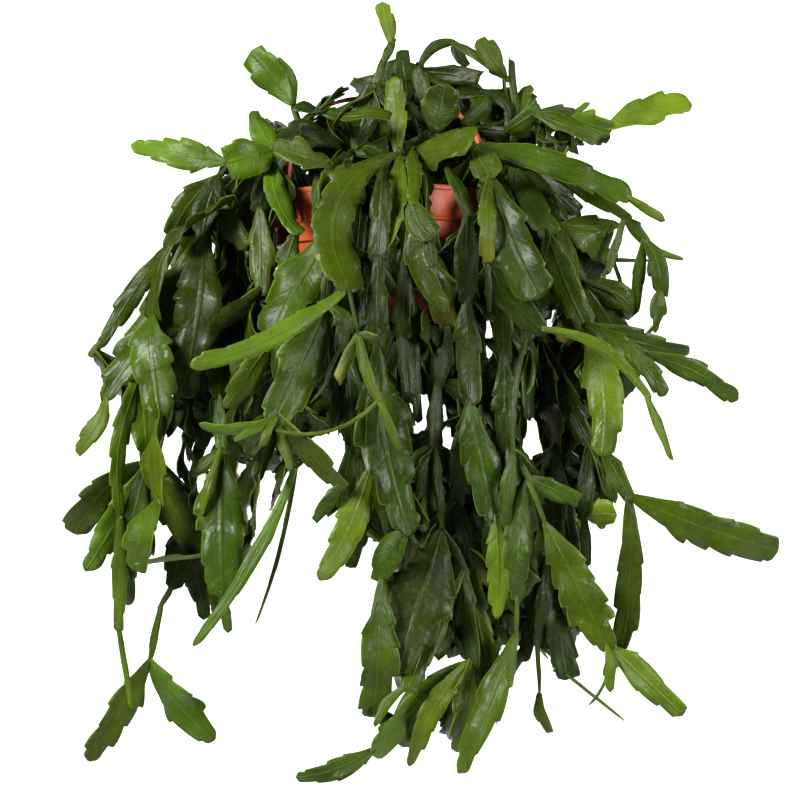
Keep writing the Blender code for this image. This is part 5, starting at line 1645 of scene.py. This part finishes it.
def bases_near(target, rng):
    """Joints that a shoot could grow from to a target, the nearest first."""
    places = np.array([head[0] for head in heads])
    distances = np.linalg.norm(places - np.array(target), axis=1)
    found = []
    for i in np.argsort(distances):
        if distances[i] > SHOOT_LENGTHS[1] or len(found) == BASES:
            break
        _, name, parent = heads[i]
        base = parent.child_base(rng.choice(SHOOT_RANKS))
        way = target - base
        climb = math.degrees(math.atan2(way.z, way.xy.length))
        hangs = base.z > CROWN_FROM or climb < HANGING_CLIMB
        far = distances[i] > NEAREST_BASE * SHOOT_LENGTHS[0]
        if far and hangs and len(stems[name]) < MOST_ON_STEM:
            found.append((name, parent, base))
    return found


def grow_towards(target, rng, covers=False):
    """Tries to grow a shoot from a joint near a target, through it."""
    for name, parent, base in bases_near(target, rng):
        for broad in BREADTHS:
            length = max(SHOOT_LENGTHS[0], (target - base).length * rng.uniform(*PAST_TARGET))
            aside = Vector([rng.uniform(-1, 1) for _ in range(3)]) * ASIDE
            way = ((target - base).normalized() + aside).normalized()
            leaf = new_shoot(base, base + way * min(length, SHOOT_LENGTHS[1]), broad, rng)
            if fits(leaf, name, parent.number, covers):
                add_shoot(name, parent, leaf)
                return True
    return False


def fill_gaps(rng):
    """Goes over the gaps from the top down, so that shoots can grow from those above them."""
    rows, columns = np.nonzero(open_gaps()[::GAP_STEP, ::GAP_STEP])
    picks = [(row + rng.uniform(-PICK_JITTER, PICK_JITTER), row * GAP_STEP, column * GAP_STEP)
             for row, column in zip(rows.tolist(), columns.tolist())]
    filled = 0
    for _, row, column in sorted(picks):
        if nearest[row, column] >= behind[row, column]:
            filled += grow_towards(gap_target(column, row, rng), rng)
    return filled


def cover_straps(rng):
    """Grows shoots in front of the straps, where the crown hides them."""
    covered = 0
    for degrees in ARM_ANGLES:
        way = direction(degrees)
        for step in range(STRAP_STEPS):
            radius, height = bow_point(STRAP_FROM + STRAP_SPAN * step / STRAP_STEPS)
            target = Vector((way.x * radius, way.y * radius - BEFORE_STRAP, height))
            across, down = seen_place(target)
            if front[int(down), int(across)] > target.y:
                covered += grow_towards(target, rng, covers=True)
    return covered


rng = random.Random(THICKEN_SEED)
heads = [(leaf.child_base(SHOOT_RANKS[0]), name, leaf)
         for name, leaves in stems.items() for leaf in leaves]
print("Covered the straps with", cover_straps(rng), "shoots")
for _ in range(GAP_ROUNDS):
    print("Filled gaps with", fill_gaps(rng), "shoots;", int(open_gaps().sum()), "cells are left")
spread = sum(grow_towards(round_target(rng), rng) for _ in range(ROUND_TARGETS))
print("Spread", spread, "more around the plant")
print("Filled gaps with", fill_gaps(rng), "shoots;", int(open_gaps().sum()), "cells are left")


# %% [markdown]
# ## The fine blades
#
# A flat blank is modelled once for each number of rows and columns: a grid, given a thickness, with
# its middle columns drawn together so that the midrib has faces of its own. Each segment is a copy of
# a blank that is bent along its line. The edge swells slowly over each tooth and drops back at its
# notch, as on the real stem, with the notches of one side between those of the other, and no two teeth
# are quite the same. The inner shoots are hardly seen, so they have fewer rows and columns.

# %% Model the blanks
FINE_ROWS, PLAIN_ROWS = 6, 4
FINE_COLUMNS, PLAIN_COLUMNS = 6, 4
TOOTH_PITCH = 17 * MM
LEAST_TEETH, MOST_TEETH = 2, 7
MIDDLE_DRAW = 1.6

blanks = {}


def blade_blank(rows, columns):
    """Points as (across, along, side) and faces of a closed flat blade with these rows and columns."""
    if (rows, columns) in blanks:
        return blanks[rows, columns]
    start_clean()
    bpy.ops.mesh.primitive_grid_add(x_subdivisions=columns, y_subdivisions=rows, size=2)
    blank = bpy.context.object
    solid = blank.modifiers.new("Thickness", "SOLIDIFY")
    solid.thickness = 2
    solid.offset = 0
    apply_modifiers(blank)
    points = np.array([vertex.co for vertex in blank.data.vertices])
    across = np.sign(points[:, 0]) * np.abs(points[:, 0]) ** MIDDLE_DRAW
    along = (points[:, 1] + 1) / 2
    faces = np.array([face.vertices for face in blank.data.polygons])
    bpy.data.objects.remove(blank)
    blanks[rows, columns] = across, along, np.sign(points[:, 2]), faces
    return blanks[rows, columns]


print("A blank of 30 rows has", len(blade_blank(30, FINE_COLUMNS)[3]), "faces")


# %% Bend a blank into a segment
TOOTH_SHARE = 0.22
TOOTH_MOST = 2.9 * MM
TOOTH_STEPS = {
    FINE_ROWS: np.array((0.0, 0.2, 0.4, 0.61, 0.8, 0.94)),
    PLAIN_ROWS: np.array((0.0, 0.31, 0.63, 0.94)),
}
TOOTH_SIZES = (0.15, 1.35)
TOOTH_JITTER = 0.24
THIN_EDGE = 0.32 * MM
FLESH = 0.3 * MM
RIB = 0.5 * MM
WAVE_SHARE = 0.2
EDGE_SWING = 0.09
SWAY = 0.025
WEDGE_END, WIDEST, TIP_FROM = 0.34, 0.45, 0.92
NARROW = 8 * MM
# Painted shade: segments seen near this place in the front view get a lower age, so a darker green, for
# the shade under the crown.
PAINTED_SHADE_CENTRE, PAINTED_SHADE_REACH = (445, 345), (140, 190)
PAINTED_SHADE_STEP = 0.8
FULL_WIDTH, TAPER_CURVE, TIP_CLOSE = 0.92, 1.4, 0.98
COUNT_SPREAD = (0.85, 1.2)
TAPERS = (0.25, 0.68)
SWINGS = (0.7, 1.6)
NARROW_TEETH = 0.4
PLAIN_WIDTH = 10 * MM
TEETH_FROM, TEETH_GROW, TEETH_FADE = 0.1, 0.16, 0.1
CUP_CURVE = 1.5
RIB_REACH = 0.14
THICK_BASE, THINNING = 1.2, 0.5
MOST_FLESH, LEAST_FLESH = 0.75, 0.3 * MM
AGE_SPREAD = 0.25
BLUSH_CHANCE, BLUSHES = 0.015, (0.2, 0.7)
CROWN_CORK_CHANCE, CORK_CHANCE, CORK_FROM = 0.12, 0.01, 0.15
CORKS = (0.4, 1)


def edge_places(u, teeth, rows, offset, rng):
    """Where the points of one edge stand along it, and how far each tooth reaches out there.

    Each tooth has a length and a size of its own, and its last row stands close to its notch.
    """
    row = np.round((u * teeth + offset) * rows).astype(int)
    number, step = row // rows, TOOTH_STEPS[rows][row % rows]
    jitters = [rng.uniform(-TOOTH_JITTER, TOOTH_JITTER) for _ in range(teeth + 2)]
    notches = np.array([i - offset + jitter for i, jitter in enumerate(jitters)])
    sizes = np.array([rng.uniform(*TOOTH_SIZES) for _ in range(teeth + 2)])
    place = notches[number] * (1 - step) + notches[number + 1] * step
    return place / teeth, sizes[number] * (1 - (1 - step) ** 2)


def edge_profile(leaf, u, taper):
    """The half width without its teeth: a long wedge, then a slow taper to a rounded tip."""
    full = max(leaf.width / 2, LEAF_LEAST_HALF_WIDTH)
    narrow = min(1, LEAF_BASE_HALF_WIDTH / full)
    rise = np.interp(u, (0, WEDGE_END, WIDEST), (narrow, max(narrow, FULL_WIDTH), 1))
    fall = 1 - taper * np.clip((u - WIDEST) / (1 - WIDEST), 0, 1) ** TAPER_CURVE
    late = np.clip((u - TIP_FROM) / (1 - TIP_FROM), 0, 1)
    return full * rise * fall * np.sqrt(1 - (TIP_CLOSE * late) ** 2)


def unit(vectors):
    return vectors / np.linalg.norm(vectors, axis=1)[:, None]


def age_with_painted_shade(leaf):
    """A segment's age, lower where the plant is old and dark: in the middle under its crown."""
    off = math.hypot(*((place - centre) / reach for place, centre, reach
                       in zip(seen_place(leaf.point(0.5)), PAINTED_SHADE_CENTRE, PAINTED_SHADE_REACH)))
    return max(min(leaf.age, 0.0), leaf.age - PAINTED_SHADE_STEP * max(0.0, min(1.0, 2 - 2 * off)))


def sometimes(rng, chance, amounts):
    """An amount between two, by chance, and otherwise none."""
    return rng.uniform(*amounts) if rng.random() < chance else 0.0


def bend_blade(leaf, rng):
    """Points, faces, blade map and attributes of a segment."""
    base, middle, tip = (np.array(point) for point in (leaf.base, leaf.middle, leaf.tip))
    length = (leaf.tip - leaf.base).length + (leaf.middle - (leaf.base + leaf.tip) / 2).length
    teeth = round(length / TOOTH_PITCH * rng.uniform(*COUNT_SPREAD))
    teeth = int(np.clip(teeth, LEAST_TEETH, MOST_TEETH))
    plain = leaf.number >= FIRST_SHOOT
    rows = PLAIN_ROWS if plain else FINE_ROWS
    columns = PLAIN_COLUMNS if plain or leaf.width < PLAIN_WIDTH else FINE_COLUMNS
    across, u, side, faces = blade_blank(teeth * rows, columns)
    left = across < 0

    # The outline: teeth that fade out at both ends, on an edge that swings in and out a little
    shown = np.clip((u - TEETH_FROM) / TEETH_GROW, 0, 1) * np.clip((1 - u) / TEETH_FADE, 0, 1)
    places = [edge_places(u, teeth, rows, offset, rng) for offset in (0.0, 0.5)]
    moved, out = (np.where(left, one, two) for one, two in zip(*places))
    half = edge_profile(leaf, u, rng.uniform(*TAPERS))
    depth = min(TOOTH_SHARE * leaf.width / 2, TOOTH_MOST)
    depth *= NARROW_TEETH if leaf.width < NARROW else 1
    turns = u * rng.uniform(*SWINGS) + np.where(left, rng.random(), rng.random())
    swing = np.sin(math.tau * turns)
    half = half * (1 + EDGE_SWING * shown * swing) + depth * shown * (out - 0.5)

    # The bow: where the centre line is, and the ways along, across and out of the blade
    along = (u + shown * across ** 2 * (moved - u))[:, None]
    centres = (1 - along) ** 2 * base + 2 * along * (1 - along) * middle + along ** 2 * tip
    forward = unit((1 - along) * (middle - base) + along * (tip - middle))
    sway = SWAY * length * rng.uniform(-1, 1) * np.sin(math.tau * along) * np.sin(math.pi * along)
    angle = leaf.turn + leaf.twist * (along - 0.5)
    normal = np.array(leaf.face) * np.cos(angle) + np.array(leaf.side) * np.sin(angle)
    sideways = unit(np.cross(forward, normal))
    facing = np.cross(sideways, forward)

    # The lift of the cupped and waved halves, and the flesh on both sides of the middle
    phase = np.where(left, rng.random(), rng.random())
    wave = WAVE_SHARE * half * np.sin(math.tau * (0.5 * u * teeth + phase)) * across ** 2
    lift = leaf.cup * half * np.abs(across) ** CUP_CURVE + wave
    flesh = THIN_EDGE + FLESH * (1 - np.abs(across)) + RIB * np.exp(-(across / RIB_REACH) ** 2)
    flesh = np.minimum(flesh * (THICK_BASE - THINNING * u), np.maximum(MOST_FLESH * half, LEAST_FLESH))
    points = centres + sideways * (half * across)[:, None]
    points = points + facing * ((lift + side * flesh)[:, None] + sway)
    amounts = {
        # The age attribute carries painted shade in the middle of the plant as well as the age.
        "age": age_with_painted_shade(leaf) + rng.uniform(-AGE_SPREAD, AGE_SPREAD),
        "tint": rng.random(),
        "teeth": teeth,
        "blush": sometimes(rng, BLUSH_CHANCE, BLUSHES),
        "cork": sometimes(rng, CROWN_CORK_CHANCE if leaf.base.z > CORK_FROM else CORK_CHANCE, CORKS),
    }
    return points, faces, np.stack([(across + 1) / 2, u], 1), amounts


# %% [markdown]
# A stem's blades and its peg, the bare foot that stands in the soil, make one piece. The piece's
# mesh is filled in bulk from lists, because one call for each vertex would be slow.

# %% Dress every stem
FOOT_SIDES = 10
FOOT_RINGS = (
    (SOIL_TOP - PEG_DEPTH, 0.9),
    (SOIL_TOP - 2 * MM, 1.0),
    (SOIL_TOP + 3 * MM, 0.9),
    (SOIL_TOP + PEG_ABOVE - 1 * MM, 0.8),
    (SOIL_TOP + PEG_ABOVE, 0.45),
)
FOOT_UV = (0.5, 0.02)
FOOT_AMOUNTS = {"age": 0.0, "tint": 0.5, "teeth": 1, "blush": 0.0, "cork": 0.6}
DRESS_SEED = 3


def foot_of(place):
    """The bare foot of a stem, as a closed round peg."""
    points = []
    for z, grow in FOOT_RINGS:
        for i in range(FOOT_SIDES):
            turn = math.tau * i / FOOT_SIDES
            points.append((place.x + PEG_RADIUS * grow * math.cos(turn),
                           place.y + PEG_RADIUS * grow * math.sin(turn), z))
    faces = []
    for row in range(len(FOOT_RINGS) - 1):
        for i in range(FOOT_SIDES):
            a, b = row * FOOT_SIDES + i, row * FOOT_SIDES + (i + 1) % FOOT_SIDES
            faces.append((a, b, b + FOOT_SIDES, a + FOOT_SIDES))
    low, high = len(points), len(points) + 1
    points += [(place.x, place.y, FOOT_RINGS[0][0]), (place.x, place.y, FOOT_RINGS[-1][0])]
    top = (len(FOOT_RINGS) - 1) * FOOT_SIDES
    for i in range(FOOT_SIDES):
        j = (i + 1) % FOOT_SIDES
        faces += [(j, i, low, low), (top + i, top + j, high, high)]
    return np.array(points), faces


def mesh_of(name, parts):
    """One mesh from parts, each with points, faces, a map and attributes."""
    points, faces, places = [], [], []
    amounts = {key: [] for key in parts[0][3]}
    count = 0
    for part_points, part_faces, part_places, part_amounts in parts:
        faces += [[int(i) + count for i in dict.fromkeys(face)] for face in part_faces]
        points.append(part_points)
        places.append(part_places)
        for key, value in part_amounts.items():
            amounts[key].append(np.full(len(part_points), float(value)))
        count += len(part_points)
    mesh = bpy.data.meshes.new(name)
    mesh.from_pydata(np.concatenate(points).tolist(), [], faces)
    mesh.update()
    corners = np.zeros(len(mesh.loops), np.int32)
    mesh.loops.foreach_get("vertex_index", corners)
    layer = mesh.uv_layers.new(name="blade")
    layer.uv.foreach_set("vector", np.concatenate(places)[corners].astype(np.float32).ravel())
    for key, values in amounts.items():
        made = mesh.attributes.new(key, "FLOAT", "POINT")
        made.data.foreach_set("value", np.concatenate(values).astype(np.float32))
    mesh.shade_smooth()
    return mesh


dress_rng = random.Random(DRESS_SEED)
triangles = 0
for name, leaves in stems.items():
    parts = [bend_blade(leaf, dress_rng) for leaf in leaves]
    points, faces = foot_of(plans[name][0])
    parts.append((points, faces, np.full((len(points), 2), FOOT_UV), FOOT_AMOUNTS))
    mesh = mesh_of(name, parts)
    piece = bpy.data.objects.new(name, mesh)
    bpy.context.scene.collection.objects.link(piece)
    finish_piece(piece, name.replace("stem", "shoots"), skin, name)
    mesh.calc_loop_triangles()
    triangles += len(mesh.loop_triangles)
print("The stems have", triangles, "triangles")


# %% [markdown]
# ## The room and the light
#
# The plant hangs free in front of a pale sweep of paper that runs from under it up behind it, with no
# corner to cast a line. Two large soft lamps stand in front, the stronger one at the left. Two more,
# high and low, light the paper behind the plant, as in a catalogue picture. The sky is weak, so the
# inside of the plant stays dark.

# %% Hang the paper sweep
FLOOR_HEIGHT = -0.7
SWEEP_NEAR, SWEEP_BEND, SWEEP_FAR = -0.6, 1.0, 1.8
SWEEP_WIDTH = 2.8
SWEEP_TOP = 1.3
SWEEP_ROWS = 40
BEND_FROM, BEND_SPAN, WALL_FROM, WALL_SPAN = 0.3, 0.5, 0.8, 0.2


def make_sweep():
    start_clean()
    bpy.ops.mesh.primitive_grid_add(x_subdivisions=1, y_subdivisions=SWEEP_ROWS, size=1)
    sweep = bpy.context.object
    radius = SWEEP_FAR - SWEEP_BEND
    for vertex in sweep.data.vertices:
        share = vertex.co.y + 0.5
        x = vertex.co.x * SWEEP_WIDTH
        if share < BEND_FROM:
            y, z = SWEEP_NEAR + (SWEEP_BEND - SWEEP_NEAR) * share / BEND_FROM, FLOOR_HEIGHT
        elif share < WALL_FROM:
            turn = math.radians(90) * (share - BEND_FROM) / BEND_SPAN
            y = SWEEP_BEND + radius * math.sin(turn)
            z = FLOOR_HEIGHT + radius * (1 - math.cos(turn))
        else:
            up = FLOOR_HEIGHT + radius
            y, z = SWEEP_FAR, up + (SWEEP_TOP - up) * (share - WALL_FROM) / WALL_SPAN
        vertex.co = (x, y, z)
    bpy.ops.object.shade_smooth()
    paper, _, shader, _ = new_material("paper")
    shader.inputs["Base Color"].default_value = (0.9, 0.9, 0.9, 1)
    shader.inputs["Roughness"].default_value = 0.9
    sweep.name = "paper_sweep"
    sweep.data.materials.append(paper)
    sweep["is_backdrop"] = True
    print("The sweep has", len(sweep.data.polygons), "faces")


make_sweep()


# %% Light the plant
SKY_STRENGTH = 0.06

# Each lamp's name, its place, where it points, its size and its power
LAMPS = (
    ("key_lamp", (-1.25, -1.25, 0.95), (0, 0, 0), 0.7, 52),
    ("fill_lamp", (1.45, -1.1, 0.45), (0, 0, 0), 0.7, 26),
    ("paper_top_lamp", (0.0, 0.8, 1.1), (0, 1.8, 0.35), 1.3, 34),
    ("paper_low_lamp", (0.0, 0.9, -0.62), (0, 1.8, -0.1), 0.9, 14),
)


def add_lamp(name, place, target, size, power):
    start_clean()
    bpy.ops.object.light_add(type="AREA", location=place)
    lamp = bpy.context.object
    lamp.name = name
    lamp.data.size = size
    lamp.data.energy = power
    lamp.rotation_euler = (Vector(target) - Vector(place)).to_track_quat("-Z", "Y").to_euler()


for lamp in LAMPS:
    add_lamp(*lamp)
world = bpy.data.worlds.new("studio")
bpy.context.scene.world = world
world.use_nodes = True
sky = world.node_tree.nodes["Background"].inputs
sky["Color"].default_value = (1, 1, 1, 1)
sky["Strength"].default_value = SKY_STRENGTH
bpy.context.scene.view_settings.view_transform = "Standard"
print("Placed", len(LAMPS), "lamps")


# %% Note the sizes and finish
low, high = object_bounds()
print("The plant measures", [round(1000 * (high[i] - low[i])) for i in range(3)], "mm")
